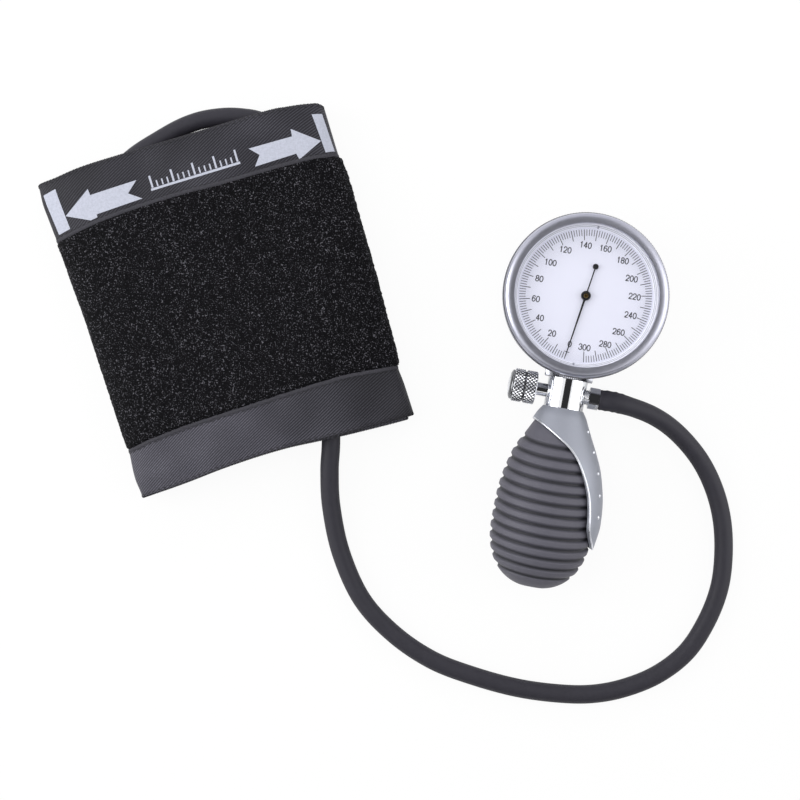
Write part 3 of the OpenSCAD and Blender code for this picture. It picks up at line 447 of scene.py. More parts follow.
def whitePrint():
    finish, tree, shader = newFinish("whitePrint", {"Roughness": 0.7, "Specular IOR Level": 0.2})
    worn = noiseAt(tree, objectPlace(tree), 1300, 3.0, 0.7)
    lit = rangeOf(tree, worn, 0.3, 0.6, 0.0, 1.0)
    colour = mixColours(tree, lit, shade(162, 165, 178), shade(178, 181, 194))
    tree.links.new(colour, shader.inputs["Base Color"])
    bumpFrom(tree, shader, worn, 0.2, 0.00005)
    return finish


finishes = {name: mottled(name, *values) for name, values in mottledPlan.items()}
for make in (clearLens, twillCloth, pileCloth, whitePrint):
    finishes[make.__name__] = make()
print("finishes made:", len(finishes))

# The hose lies from the nipple round the table, under the cuff and through it to the port
hosePlan = {
    "diameter": 8.0,
    "sides": 28,
    "steps": 9,
    "swell": 0.35,            # how much the barb widens its end
    "swellLength": 11.0,
    "swellFade": 4.0,         # half the length over which the swell dies out
    "barbRipple": (0.14, 3.2),  # height and pitch of the rings that the barb presses out
    "loopThinner": 0.15,      # the loop above the cuff lies pressed
    "loopFrom": (85, 92),
    "onNipple": (14.3, 23.3),   # stretch of the hose that the nipple fills
    "endBevel": 0.5,
}
onNipple = np.array([[x, -unitPlan["ports"], unitPlan["axisHeight"]] for x in hosePlan["onNipple"]])
hoseRoute = [tuple(p) for p in onUnit(onNipple)] + [
    (128.3, -29.9, 16), (139.8, -37.4, 9.8), (150.1, -48.8, 5.6), (156.8, -61.8, 4.1),
    (160.3, -75.8, 4.1), (160.9, -90.9, 4.1), (159, -105.2, 4.1), (153.5, -119.3, 4.1),
    (144.9, -132.4, 4.1), (132.6, -142, 4.1), (118.4, -147.9, 4.1), (104.3, -150.6, 4.1),
    (89.3, -150.4, 4.1), (71.3, -147.9, 4.1), (52.3, -142.7, 4.1), (34.8, -135.9, 4.1),
    (18.4, -124.8, 4.1), (4.6, -109.8, 4.1), (-4.4, -89.9, 4.3), (-8.6, -69.9, 6.2),
    (-9.3, -53.9, 9), (-8.6, -39.9, 10.6), (-9.1, -10.8, 10.7), (-11.4, 23, 10.7),
    (-14.7, 52.3, 10.7), (-18.3, 71.2, 10.7), (-23, 84, 10.7), (-29.9, 91.8, 10.7),
    (-39, 96.4, 10.7), (-47.2, 97.9, 10.7), (-55.2, 98, 10.7), (-64.6, 96.5, 10.7),
    (-73.6, 93.1, 10.7), (-82.6, 87.9, 10.7), (-93.2, 80.9, 10.7), (-101.2, 72.8, 10.7),
    (-106, 62, 10.7), (-106.6, 51.2, 10.7), (-104.3, 42.1, 10.7),
]


def makeHose():
    path = smoothPath(hoseRoute, hosePlan["steps"])
    gone = distances(path)
    swollen, fade = hosePlan["swellLength"], hosePlan["swellFade"]
    stretched = hosePlan["swell"] * (1 - step(swollen - fade, swollen + fade, gone))
    height, pitch = hosePlan["barbRipple"]
    bumps = height * np.cos(2 * math.pi * gone / pitch) * (gone < swollen)
    thinner = hosePlan["loopThinner"] * step(*hosePlan["loopFrom"], path[:, 1])
    radii = hosePlan["diameter"] / 2 + stretched + bumps - thinner
    radii[0] -= hosePlan["endBevel"]
    points = tubePoints(path, radii, hosePlan["sides"])
    faces = tubeFaces(len(path), hosePlan["sides"])
    hose = addPiece("hose_tube", points, faces, "hoseRubber", "hose")
    print("hose made, length in mm:", round(gone[-1], 1))


makeHose()

# The cuff: a flat strip rolled up twice, with a twill cover, a bladder and a pile panel outside
cuffPlan = {
    "width": 126.4,       # of the roll
    "height": 138.0,      # along the roll
    "layer": 2.6,
    "pitch": 2.9,         # from one layer to the next
    "turns": 2,
    "halfHeight": 12.6,
    "middleHeight": 10.425,
    "roundTop": 2.8,
    "roundBottom": 5.0,
    # Reach of the sides from the middle, at heights along the roll
    "leftReach": [(-69, 61.6), (-58, 61.6), (-50, 60.9), (-45, 60.4), (-38, 60.7), (0, 61.4), (12, 61.6),
                  (26, 62.4), (41, 63.1), (48, 64.1), (55, 64.7), (62, 65.3), (69, 65.4)],
    "rightReach": [(-69, 62.9), (-55, 62.7), (-48, 62.2), (-41, 62.7), (-27, 63.2), (-13, 63.8), (0, 64.1),
                   (22, 64.5), (36, 64.8), (46, 64.4), (69, 64.5)],
    # How far the cloth bows up along its edges and along the two edges of the pile
    "bows": {
        -69: [(-64, -0.9), (-50, -0.5), (-38, 0.1), (-25, 1.1), (-12, 1.7), (-3, 1.9), (6, 1.8), (12, 1.5),
              (19, 1.0), (31, 0.3), (43, -0.1), (55, -0.6), (66, -0.6)],
        -47: [(-64, -2.0), (-55, -1.0), (-50, -0.2), (-40, 0.6), (-30, 1.2), (-15, 1.5), (0, 1.7), (15, 2.0),
              (32, 2.0), (40, 1.8), (50, 0.7), (60, -0.4), (66, -0.9)],
        46: [(-64, -1.0), (-55, -0.1), (-50, 0.6), (-42, 1.5), (-30, 2.2), (-17, 2.4), (0, 2.2), (12, 1.6),
             (25, 1.4), (42, 1.2), (52, 0.9), (58, 0.1), (66, -0.6)],
        69: [(-66, 2.3), (-56, 2.35), (-52, 2.65), (-45, 3.3), (-38, 3.5), (-30, 3.45), (-10, 3.2), (10, 3.1),
             (40, 3.05), (48, 2.4), (55, 1.6), (60, 0.8), (66, 0.1)],
    },
    "cornerCut": 1.2,     # how much shorter the outer end is at its upper corner
    "cornerFade": (1, 6),
    "innerPeek": 1.1,     # how far the inner turn shows below at the right
    "peekTurns": (300, 350, 400, 470),   # degrees along the roll where that turn starts and ends
    "peekFrom": 30,       # how far from the middle the cut and the peek begin
    "hem": 1.3,           # thickness at the edges
    "hemFade": (1, 9),    # distance from the edge over which it grows to the layer's
    "ripple": 0.5,
    "rippleTurns": (4, 30, 150, 178),
    "slow": (17, 60, 24, 7),      # of the ripples: length, slant, width and start
    "crease": (7, 16, 22, 3),
    "edgeRound": 0.7,     # how far the folded edges reach round
    "spacing": 0.25,      # between the points of the roll's table
    "gridU": 1.6,
    "gridV": 1.7,
}
halfW, halfH = cuffPlan["width"] / 2, cuffPlan["height"] / 2


def rollTable():
    angle = np.arange(0, 360 * cuffPlan["turns"] + 0.01, 0.05)
    a = np.radians(angle)
    inset = cuffPlan["layer"] / 2 + cuffPlan["pitch"] * angle / 360
    power = np.where(np.sin(a) < 0, cuffPlan["roundBottom"], cuffPlan["roundTop"])
    x = (halfW - inset) * np.sign(np.cos(a)) * np.abs(np.cos(a)) ** (2 / power)
    z = cuffPlan["middleHeight"] + (cuffPlan["halfHeight"] - inset) * np.sign(np.sin(a)) \
        * np.abs(np.sin(a)) ** (2 / power)
    z = np.maximum(z, cuffPlan["layer"] / 2)
    gone = np.concatenate([[0], np.cumsum(np.hypot(np.diff(x), np.diff(z)))])
    even = np.arange(0, gone[-1], cuffPlan["spacing"])
    x, z, angle = np.interp(even, gone, x), np.interp(even, gone, z), np.interp(even, gone, angle)
    x, z = blurred(x, 17), blurred(z, 17)
    dx, dz = np.gradient(x), np.gradient(z)
    size = np.hypot(dx, dz)
    return {"u": even, "x": x, "z": z, "angle": angle, "nx": dz / size, "nz": -dx / size}


roll = rollTable()
rollLength = roll["u"][-1]
softNoise = latticeNoise(3, 64)
wrinkleNoise = latticeNoise(5, 64)
leftTable, rightTable = smoothTable(cuffPlan["leftReach"]), smoothTable(cuffPlan["rightReach"])
bowRows = np.array(sorted(cuffPlan["bows"]), float)
bowTables = [smoothTable(cuffPlan["bows"][row]) for row in sorted(cuffPlan["bows"])]


def bentPlace(x, y):  # pulls the plain rectangle into the outline that the laid cuff has
    reach = np.where(x < 0, np.interp(y, *leftTable), np.interp(y, *rightTable))
    x = x * (1 + (reach / halfW - 1) * step(0, halfW, np.abs(x)))
    rises = [np.interp(x, *table) for table in bowTables]
    bow = rises[0]
    for k in range(1, len(rises)):
        share = step(bowRows[k - 1], bowRows[k], y)
        bow = bow * (1 - share) + rises[k] * share
    return x, y + bow


def rollAt(u, v, off):
    x, z = np.interp(u, roll["u"], roll["x"]), np.interp(u, roll["u"], roll["z"])
    nx, nz = np.interp(u, roll["u"], roll["nx"]), np.interp(u, roll["u"], roll["nz"])
    turn = np.interp(u, roll["u"], roll["angle"])
    px, pz = x + nx * off, z + nz * off
    inside, (a, b, c, d) = cuffPlan["peekFrom"], cuffPlan["peekTurns"]
    cut = cuffPlan["cornerCut"] * (1 - step(*cuffPlan["cornerFade"], u)) * step(inside, halfH, v)
    peek = cuffPlan["innerPeek"] * step(a, b, turn) * (1 - step(c, d, turn)) * step(inside, halfH, -v)
    px, py = bentPlace(px, v)
    return np.stack([px, py - cut - peek, np.maximum(pz, 0.02)], -1)


def uAtAngle(angle):
    return np.interp(angle, roll["angle"], roll["u"])


def ripple(u, v):
    a, b, c, d = [uAtAngle(angle) for angle in cuffPlan["rippleTurns"]]
    top = step(a, b, u) * (1 - step(c, d, u))
    slow, crease = [noise(u / length + v / slant, v / width + start) for noise, (length, slant, width, start)
                    in ((softNoise, cuffPlan["slow"]), (wrinkleNoise, cuffPlan["crease"]))]
    return top * cuffPlan["ripple"] * (0.7 * slow + 0.3 * crease)


def skin(u, v):
    inEdge = np.minimum(halfH - np.abs(v), np.minimum(u, rollLength - u))
    thick = cuffPlan["hem"] + (cuffPlan["layer"] - cuffPlan["hem"]) * step(*cuffPlan["hemFade"], inEdge)
    return thick / 2


def outside(u, v, proud=0.0):
    return rollAt(u, v, skin(u, v) + ripple(u, v) + proud)


def makeCuffCover():
    u = np.linspace(0, rollLength, int(rollLength / cuffPlan["gridU"]))
    edge = cuffPlan["edgeRound"]
    v = np.linspace(-halfH + edge, halfH - edge, int(cuffPlan["height"] / cuffPlan["gridV"]))
    bend = np.radians(np.linspace(90, -90, 7))[1:-1]
    uu, vv = np.meshgrid(u, v, indexing="ij")
    rim = cuffPlan["hem"] / 2
    outer = outside(uu, vv)
    inner = rollAt(uu, vv, -skin(uu, vv))[:, ::-1]
    ub, bb = np.meshgrid(u, bend, indexing="ij")
    highEdge = rollAt(ub, halfH - edge + edge * np.cos(bb), rim * np.sin(bb))
    lowEdge = rollAt(ub, -halfH + edge - edge * np.cos(bb), -rim * np.sin(bb))
    points = np.concatenate([outer, highEdge, inner, lowEdge], 1)
    across = points.shape[1]
    vAt = np.concatenate([v, [halfH] * len(bend), v[::-1], [-halfH] * len(bend)])
    uv = np.stack(np.meshgrid(u, vAt, indexing="ij"), -1)
    faces = gridFaces(len(u), across, closeColumns=True)
    for row in (0, len(u) - 1):  # closes both ends of the strip
        for k in range(len(v) - 1):
            a, b = row * across + k, row * across + k + 1
            mirror = len(v) + len(bend) + len(v) - 1
            faces.append([a, b, row * across + mirror - k - 1, row * across + mirror - k])
        first = row * across + len(v) - 1
        faces.append([first + k for k in range(len(bend) + 2)])
        last = row * across + across - len(bend)
        faces.append([last - 1 + k for k in range(len(bend) + 1)] + [row * across])
    points = onCuff(points)
    return addPiece("cuff_cloth_cover", points, faces, "twillCloth", "cuff_cover", uv=uv)


bladderPlan = {
    "from": 407.5,   # degrees along the roll
    "to": 632.5,
    "height": 117.5,
    "thick": 0.9,
    "edge": 8.0,     # width of the flattened rim
    "rim": 0.35,     # its share of the thickness
    "columns": 60,
    "spacing": 2.0,
}


def makeBladder():
    u = np.arange(uAtAngle(bladderPlan["from"]), uAtAngle(bladderPlan["to"]), bladderPlan["spacing"])
    half, columns = bladderPlan["height"] / 2, bladderPlan["columns"]
    v = np.concatenate([np.linspace(-half, half, columns), np.linspace(half, -half, columns)])
    side = np.repeat([1.0, -1.0], columns)
    uu, vv = np.meshgrid(u, v, indexing="ij")
    rim = bladderPlan["rim"]
    puff = bladderPlan["thick"] / 2 * (rim + (1 - rim) * step(0, bladderPlan["edge"], half - np.abs(vv)))
    points = onCuff(rollAt(uu, vv, side[None, :] * puff))
    faces = foldedFaces(len(u), len(v))
    addPiece("bladder_sheet", points, faces, "bladderRubber", "bladder")


pilePlan = {
    "from": 0.6,
    "to": 195.0,
    "low": -47.0,
    "high": 46.0,
    "thick": 0.85,
    "rough": 0.42,
    "grid": 0.45,
    "tuft": 0.95,      # size of the clumps of loops
    "scatter": 0.22,   # how far single points stray
    "ragged": 0.45,    # how far they stray more at the edges
    "raggedWidth": 2.5,
    "bulge": 0.6,      # rise where the strip starts
    "bulgeFade": (3, 14),
    "edgeFade": (-0.2, 1.5),   # where the loops grow to their full height
    "underColumns": 24,
    "lift": 0.02,      # of the panel's back from the cloth
}


def makePile():
    u = np.arange(uAtAngle(pilePlan["from"]), uAtAngle(pilePlan["to"]), pilePlan["grid"])
    top = np.arange(pilePlan["low"], pilePlan["high"], pilePlan["grid"])
    under = np.linspace(pilePlan["high"], pilePlan["low"], pilePlan["underColumns"])
    dice = np.random.default_rng(11)
    size = (len(u), len(top))
    uu, vv = np.meshgrid(u, top, indexing="ij")
    tuft = latticeNoise(17, 256)(uu / pilePlan["tuft"], vv / pilePlan["tuft"])
    fleck = dice.random(size)
    edge = np.minimum(np.minimum(vv - pilePlan["low"], pilePlan["high"] - vv),
                      np.minimum(uu - u[0], u[-1] - uu))
    rise = step(*pilePlan["edgeFade"], edge + 0.5 * (tuft - 0.5))
    proud = rise * (pilePlan["thick"] + pilePlan["rough"] * (0.6 * tuft + 0.4 * fleck - 0.5))
    ragged = (1 - step(0, pilePlan["raggedWidth"], edge)) * pilePlan["ragged"]
    uu = uu + (dice.random(size) - 0.5) * pilePlan["scatter"]
    vv = vv + (dice.random(size) - 0.5) * (pilePlan["scatter"] + ragged)
    bulge = pilePlan["bulge"] * (1 - step(*pilePlan["bulgeFade"], uu)) * rise
    surface = outside(uu, vv, np.maximum(proud + bulge, 2 * pilePlan["lift"]))
    ub, vb = np.meshgrid(u, under, indexing="ij")
    points = np.concatenate([surface, outside(ub, vb, pilePlan["lift"])], 1)
    faces = gridFaces(len(u), points.shape[1], closeColumns=True)
    addPiece("pile_loops", onCuff(points), faces, "pileCloth", "pile_panel", sharp=180)


selvedgePlan = {
    "from": 4.0,
    "to": 196,
    "wide": 1.4,
    "under": 0.3,
    "lift": 0.05,
    "proud": 0.3,
    "wander": 0.25,
    "columns": 6,
    "spacing": 0.9,
}


def makeSelvedge(name, edge, outward):  # outward is -1 below the pile and 1 above it
    p = selvedgePlan
    low, high = sorted((edge - outward * p["under"], edge + outward * p["wide"]))
    u = np.arange(uAtAngle(p["from"]), uAtAngle(p["to"]), p["spacing"])
    uu, vv = np.meshgrid(u, np.linspace(low, high, p["columns"]), indexing="ij")
    crown = p["proud"] * (1 - (np.abs(vv - (low + high) / 2) / ((high - low) / 2)) ** 4)
    vv = vv + p["wander"] * (np.random.default_rng(23).random((len(u), 1)) - 0.5)
    points = np.concatenate([outside(uu, vv, p["lift"] + crown), outside(uu, vv, 0.0)[:, ::-1]], 1)
    addPiece(name, onCuff(points), foldedFaces(len(u), 2 * p["columns"]), "selvedgeCloth")


hookPlan = {
    "from": 550,
    "to": 610,
    "low": -47,
    "high": 10,
    "depths": (1.75, 1.32),   # of both faces below the cloth's middle
    "columns": 40,
    "spacing": 1.2,
}


def makeHook():
    p = hookPlan
    u = np.arange(uAtAngle(p["from"]), uAtAngle(p["to"]), p["spacing"])
    v = np.linspace(p["low"], p["high"], p["columns"])
    uu, vv = np.meshgrid(u, np.concatenate([v, v[::-1]]), indexing="ij")
    off = -np.repeat(p["depths"], p["columns"])
    points = onCuff(rollAt(uu, vv, off[None, :]))
    addPiece("hook_tape", points, foldedFaces(len(u), 2 * len(v)), "hookPlastic", "hook_panel")


seamPlan = {
    "stitchPitch": 2.75,
    "stitchLength": 1.9,
    "thread": 0.12,
    "inset": 1.25,
    "besidePile": 1.7,
    "steps": 6,
    "proud": 0.16,           # of a stitch's middle
    "dive": 0.3,             # of its ends
    "overlockPitch": 1.5,
    "overlockSteps": 12,
    "overlockSwing": 100,    # degrees round the edge, to both sides
    "overlockReach": 0.85,
    "overlockInset": 0.75,
}


def threads(paths, sides=5):
    return joined([(tubePoints(path, seamPlan["thread"], sides), tubeFaces(len(path), sides))
                   for path in paths])


def makeStitches():
    paths = []
    length, pitch = seamPlan["stitchLength"], seamPlan["stitchPitch"]
    hem, beside = halfH - seamPlan["inset"], seamPlan["besidePile"]
    pileEnds = uAtAngle(selvedgePlan["from"]), uAtAngle(selvedgePlan["to"])
    rows = [(-hem, 0.5, rollLength), (hem, 0.5, rollLength),
            (pilePlan["low"] - beside, *pileEnds), (pilePlan["high"] + beside, *pileEnds)]
    share = np.linspace(0, 1, seamPlan["steps"])
    proud = seamPlan["proud"] - seamPlan["dive"] * (2 * share - 1) ** 4
    for v, first, last in rows:
        for start in np.arange(first + 1, last - 3, pitch):
            path = outside(start + share * length, v + 0 * share, proud)
            paths.append(onCuff(path))
    points, faces = threads(paths)
    addPiece("cuff_stitches", points, faces, "threadBlack")


def makeOverlock():
    p = seamPlan
    paths = []
    for sideOf in (-1, 1):
        u = np.arange(0.4, rollLength - 0.4, p["overlockPitch"] / p["overlockSteps"])
        phase = (u / p["overlockPitch"]) % 1
        swing = np.radians(p["overlockSwing"]) * (4 * np.abs(phase - 0.5) - 1)
        reach = cuffPlan["hem"] / 2 + p["thread"]
        v = sideOf * (halfH - p["overlockInset"] + p["overlockReach"] * np.cos(swing))
        paths.append(onCuff(rollAt(u, v, reach * np.sin(swing))))
    points, faces = threads(paths)
    addPiece("cuff_overlock", points, faces, "threadBlack")


# Size marks on the upper band, in the cuff's own millimetres
printPlan = {
    "leftBar": [(-60.9, 64.9), (-55.2, 66.1), (-53.9, 48.1), (-59.1, 47.0)],
    "leftArrow": [(-54.2, 53.8), (-41.9, 62.1), (-41.7, 59.3), (-21.2, 59.7), (-26.2, 55.3), (-21.0, 51.5),
                  (-41.4, 50.7), (-41.5, 49.4), (-44.6, 49.0)],
    "rightArrow": [(58.3, 52.7), (47.5, 61.3), (47.2, 58.1), (28.1, 58.5), (31.8, 54.6), (28.5, 50.4),
                   (46.8, 50.6), (47.3, 47.8)],
    "rightBar": [(57.9, 64.6), (62.3, 63.6), (62.9, 46.9), (58.7, 47.4)],
    "ruler": (3.3, 2.35, 54.6),  # middle, spacing and foot of the tick marks
    "ticks": 8,                  # on each side of the middle
    "baseLine": (0.9, 1.2, 0.2),  # how far it passes the ticks, and its foot and top below theirs
    "tickSizes": ((0.42, 5.2), (0.3, 2.6)),  # half width and height of each fourth tick, and of the others
    "level": 22.5,               # height at which the marks were measured
    "proud": 0.07,
    "cut": 1.5,                  # size of the cells in which the marks follow the cloth
    "cutFrom": ((-64, 64), (44, 68)),
}


def dropOnTop(x, y, proud):
    top = slice(0, int(uAtAngle(180) / cuffPlan["spacing"]))
    outX = roll["x"][top] + roll["nx"][top] * cuffPlan["layer"] / 2
    outZ = roll["z"][top] + roll["nz"][top] * cuffPlan["layer"] / 2
    order = np.argsort(outX)
    lens = np.array(cameraPlan["at"]) / mm
    seen = onCuff(np.stack([x, y, 0 * x], -1))
    high = np.full(len(x), printPlan["level"])
    flat, v = x, y
    for _ in range(24):  # slides each point along its line of sight until it meets the cloth
        grow = ((lens[2] - high) / (lens[2] - printPlan["level"]))[:, None]
        shift = lens[:2] + (seen[:, :2] - lens[:2]) * grow - cuffPlace["middle"]
        across, along = turned(shift[:, 0], shift[:, 1], -cuffPlace["turn"])
        bentX, bentY = bentPlace(flat, v)
        flat, v = flat + across - bentX, v + along - bentY
        high = 0.5 * high + 0.5 * np.interp(flat, outX[order], outZ[order])
    return outside(np.interp(flat, outX[order], roll["u"][top][order]), v, proud)


def rulerBars():
    middle, spacing, foot = printPlan["ruler"]
    past, low, high = printPlan["baseLine"]
    tall, short = printPlan["tickSizes"]
    ticks = printPlan["ticks"]
    bars = []

    def addBar(x, half, low, high):
        bars.append([(x - half, low), (x + half, low), (x + half, high), (x - half, high)])

    for k in range(-ticks, ticks + 1):
        half, height = tall if k % 4 == 0 else short
        addBar(middle + spacing * k, half, foot, foot + height)
    addBar(middle, spacing * ticks + past, foot - low, foot - high)
    return bars


def makePrint():
    shapes = [printPlan[k] for k in ("leftBar", "leftArrow", "rightArrow", "rightBar")] + rulerBars()
    shaped = bmesh.new()
    for outline in shapes:
        shaped.faces.new([shaped.verts.new((x, y, 0)) for x, y in outline])
    for (low, high), normal in zip(printPlan["cutFrom"], ((1, 0, 0), (0, 1, 0))):
        for at in np.arange(low, high, printPlan["cut"]):
            everything = shaped.verts[:] + shaped.edges[:] + shaped.faces[:]
            bmesh.ops.bisect_plane(shaped, geom=everything, plane_co=at * np.array(normal), plane_no=normal)
    shaped.verts.ensure_lookup_table()
    flat = np.array([v.co for v in shaped.verts])
    faces = [[v.index for v in f.verts] for f in shaped.faces]
    shaped.free()
    top = dropOnTop(flat[:, 0], flat[:, 1], printPlan["proud"])
    addPiece("size_marks", onCuff(top), faces, "whitePrint")


cover = makeCuffCover()
makeBladder()
makePile()
makeSelvedge("selvedge_low", pilePlan["low"], -1)
makeSelvedge("selvedge_high", pilePlan["high"], 1)
makeHook()
makeStitches()
makeOverlock()
makePrint()
print("cuff made, strip length in mm:", round(rollLength, 1))

# The bulb: a ribbed rubber egg, smooth at both ends
bulbPlan = {
    "top": 53.1,
    "widest": 98.27,
    "end": 124.8,
    "radius": 21.6,
    "shoulder": [(50, 8), (53.1, 9.6), (54.8, 11.0), (60.6, 14.0), (64.8, 16.3), (68.9, 18.0), (75.3, 19.7),
                 (80, 20.6), (85.5, 21.3), (92, 21.55), (98.27, 21.6), (104, 21.6)],
    "wall": 2.2,
    "tip": 1.2,       # last stretch, with closer rings
    "mouth": 5.3,     # radius of the valve's seat at the far end
    "mouthDeep": 9.5,
    "neck": 5.05,     # inner radius at the manifold's end
    "neckEnd": 60.0,
    "fullness": 2.3,  # how full the lower half is, 2 is an ellipse
    "ribs": 12,
    "ribsFrom": 62.0,
    "ribsTo": 117.0,
    "groove": 1.0,
    "grooveWidth": (0.04, 0.34),   # share of a rib's pitch where its floor ends and where it's out
    "lean": 0.16,   # how far the grooves lean down the bulb towards its top side
    "sides": 180,
    "spacing": 0.16,
}
shoulderTable = smoothTable(bulbPlan["shoulder"])


def bulbAt(s):
    b = bulbPlan
    upper = np.interp(s, *shoulderTable)
    fall = np.clip((s - b["widest"]) / (b["end"] - b["widest"]), 0, 1) ** b["fullness"]
    return np.where(s < b["widest"], upper, b["radius"] * (1 - fall) ** (1 / b["fullness"]))


def grooveShare(s):
    b = bulbPlan
    f = (s - b["ribsFrom"]) / (b["ribsTo"] - b["ribsFrom"]) * b["ribs"]
    near = np.abs(f - np.round(f))
    inside = (f > -0.4) & (f < b["ribs"] + 0.4)
    return np.where(inside, 1 - step(*b["grooveWidth"], near), 0)


def makeBulb():
    b = bulbPlan
    tip = b["end"] - b["tip"] * (1 - np.sin(np.linspace(0, math.pi / 2, 14))) ** 2
    s = np.concatenate([np.arange(b["top"], b["end"] - b["tip"], b["spacing"]), tip])
    outer = [(float(bulbAt(v)), float(v)) for v in s if bulbAt(v) > b["mouth"] + 0.1]
    mouth = [(b["mouth"], outer[-1][1]), (b["mouth"] - 0.05, b["end"] - b["mouthDeep"])]
    back = [(max(b["mouth"] - 0.1, float(bulbAt(v + 1)) - b["wall"] - 0.5), v)
            for v in np.arange(b["end"] - 6, b["neckEnd"], -2.0)]
    neck = [(b["neck"], b["neckEnd"]), (b["neck"], b["top"])]
    profile = outer + mouth + back + neck
    onSkin = np.arange(len(profile)) < len(outer)

    def depth(around, radius, along):
        return onSkin * grooveShare(along - b["lean"] * radius * np.abs(np.sin(around)))

    def dent(around, radius, along):
        return b["groove"] * depth(around, radius, along)

    count = b["sides"]
    points = spin(profile, count, dent)
    flat = np.array(profile)
    # painted shade: the grooves between the ribs are darkened, most in their floors
    paintedShade = depth(np.arange(count)[:, None] * 2 * math.pi / count, flat[None, :, 0], flat[None, :, 1])
    faces = gridFaces(count, len(profile), closeRows=True, closeColumns=True)
    addPiece("bulb_rubber_egg", onAxis(points), faces, "bulbRubber", "bulb", paintedShade=paintedShade ** 2)


makeBulb()
print("bulb made")

# The spoon: a thin silver shell with a rolled bright lip and five pairs of grip bumps
spoonPlan = {
    "top": 47.9,
    "length": 56.4,
    "wall": 1.6,
    "thinnest": 0.25,
    "clearance": 0.25,   # from the bulb
    "neckBore": 8.35,
    "collar": 1.7,       # length of the closed ring at its top
    "outside": [(47.9, 8.6), (50.6, 10.4), (53.1, 11.6), (58.2, 14.1), (64.7, 17.4), (71.3, 20.3),
                (78.6, 22.4), (83.9, 23.5), (89.3, 24.1), (94.8, 24.3), (99.3, 23.8), (104.3, 23.0)],
    "edge": [(-0.8, 0.03), (-0.53, 0.1), (-0.31, 0.149), (-0.04, 0.216), (0.186, 0.277), (0.368, 0.349),
             (0.506, 0.434), (0.624, 0.521), (0.718, 0.611), (0.777, 0.702), (0.815, 0.79), (0.834, 0.851),
             (0.901, 0.915), (1.01, 0.993)],
    "lip": 0.45,
    "lipSunk": 0.6,      # share of its radius that lies inside the shell
    "lipSteps": 260,
    "fineTo": 55,        # the rows lie closer as far as this
    "rows": (30, 90),
    "columns": 96,
    "bumps": (55.9, 64.0, 72.4, 81.4, 90.4),
    "bumpTilt": 26,
    "bumpSize": (0.85, 0.6),  # radius and height
}
spoonTable = smoothTable(spoonPlan["outside"])


def spoonOutside(s):
    return np.interp(s, *spoonTable)


def spoonInside(s):
    outer = spoonOutside(s)
    onBulb = bulbAt(np.maximum(s, bulbPlan["top"])) + spoonPlan["clearance"]
    clear = np.where(s < bulbPlan["top"], spoonPlan["neckBore"], onBulb)
    return np.minimum(np.maximum(outer - spoonPlan["wall"], clear), outer - spoonPlan["thinnest"])


def spoonEdge():
    across, down = smoothTable(spoonPlan["edge"], 10)
    return across * bulbPlan["radius"], spoonPlan["top"] + down * spoonPlan["length"]


def makeSpoon():
    p = spoonPlan
    end = p["top"] + p["length"]
    edgeU, edgeS = spoonEdge()
    fine, coarse = p["rows"]
    s = np.concatenate([np.linspace(p["top"], p["fineTo"], fine),
                        np.linspace(p["fineTo"], end - 0.15, coarse)[1:]])
    cut = np.interp(s, edgeS, edgeU)
    outer, inner = spoonOutside(s), spoonInside(s)
    wide = np.arccos(np.clip(cut / (outer - p["wall"] / 2), -1, 1))
    wide = np.where(s < p["top"] + p["collar"], math.pi, wide)
    share = np.linspace(-1, 1, p["columns"])
    theta = wide[:, None] * share[None, :] * 0.9999

    def skinOf(radius):
        across = radius[:, None] * np.cos(theta), radius[:, None] * np.sin(theta)
        return np.stack([*across, s[:, None] + 0 * theta], -1)

    points = np.concatenate([skinOf(outer), skinOf(inner)[:, ::-1]], 1)
    faces = foldedFaces(len(s), p["columns"] * 2)
    addPiece("spoon_shell", onAxis(points), faces, "spoonSilver", "spoon",
             body="spoon", sharp=50)
    makeLip(s, wide, outer)
    makeBumps()


def makeLip(s, wide, outer):
    lead = np.where(wide < math.pi * 0.985)[0]
    s, wide, radius = s[lead], wide[lead], outer[lead] - spoonPlan["lip"] * spoonPlan["lipSunk"]
    far = np.stack([radius * np.cos(wide), radius * np.sin(wide), s], -1)
    near = np.stack([radius * np.cos(wide), -radius * np.sin(wide), s], -1)
    path = onAxis(np.concatenate([near[::-1], far]))
    gone = distances(path)
    even = np.linspace(0, gone[-1], spoonPlan["lipSteps"])
    path = np.stack([blurred(np.interp(even, gone, path[:, k]), 11) for k in range(3)], -1)
    points = tubePoints(path, spoonPlan["lip"], 12, up=(0.17, 0.98, 0.05))
    addPiece("spoon_lip", points, tubeFaces(len(path), 12), "brightLip", body="spoon")


def makeBumps():
    p = spoonPlan
    wide, tall = p["bumpSize"]
    rows, columns = 9, 20
    lat = np.radians(np.linspace(-20, 90, rows))[:, None]
    lon = np.arange(columns)[None, :] * 2 * math.pi / columns
    skinFaces = gridFaces(rows, columns, closeColumns=True) + [list(range(columns))]
    bumps = []
    for s in p["bumps"]:
        for tilt in (-p["bumpTilt"], p["bumpTilt"]):
            out = float(spoonOutside(s)) - 0.1 + tall * np.sin(lat) + 0 * lon
            flat = wide * np.cos(lat)
            a = math.radians(tilt)
            x = out * math.cos(a) - flat * np.cos(lon) * math.sin(a)
            y = out * math.sin(a) + flat * np.cos(lon) * math.cos(a)
            bumps.append((np.stack([x, y, s + flat * np.sin(lon)], -1), skinFaces))
    points, faces = joined(bumps)
    addPiece("spoon_bumps", onAxis(points), faces, "brightLip", body="spoon")


makeSpoon()
print("spoon made")

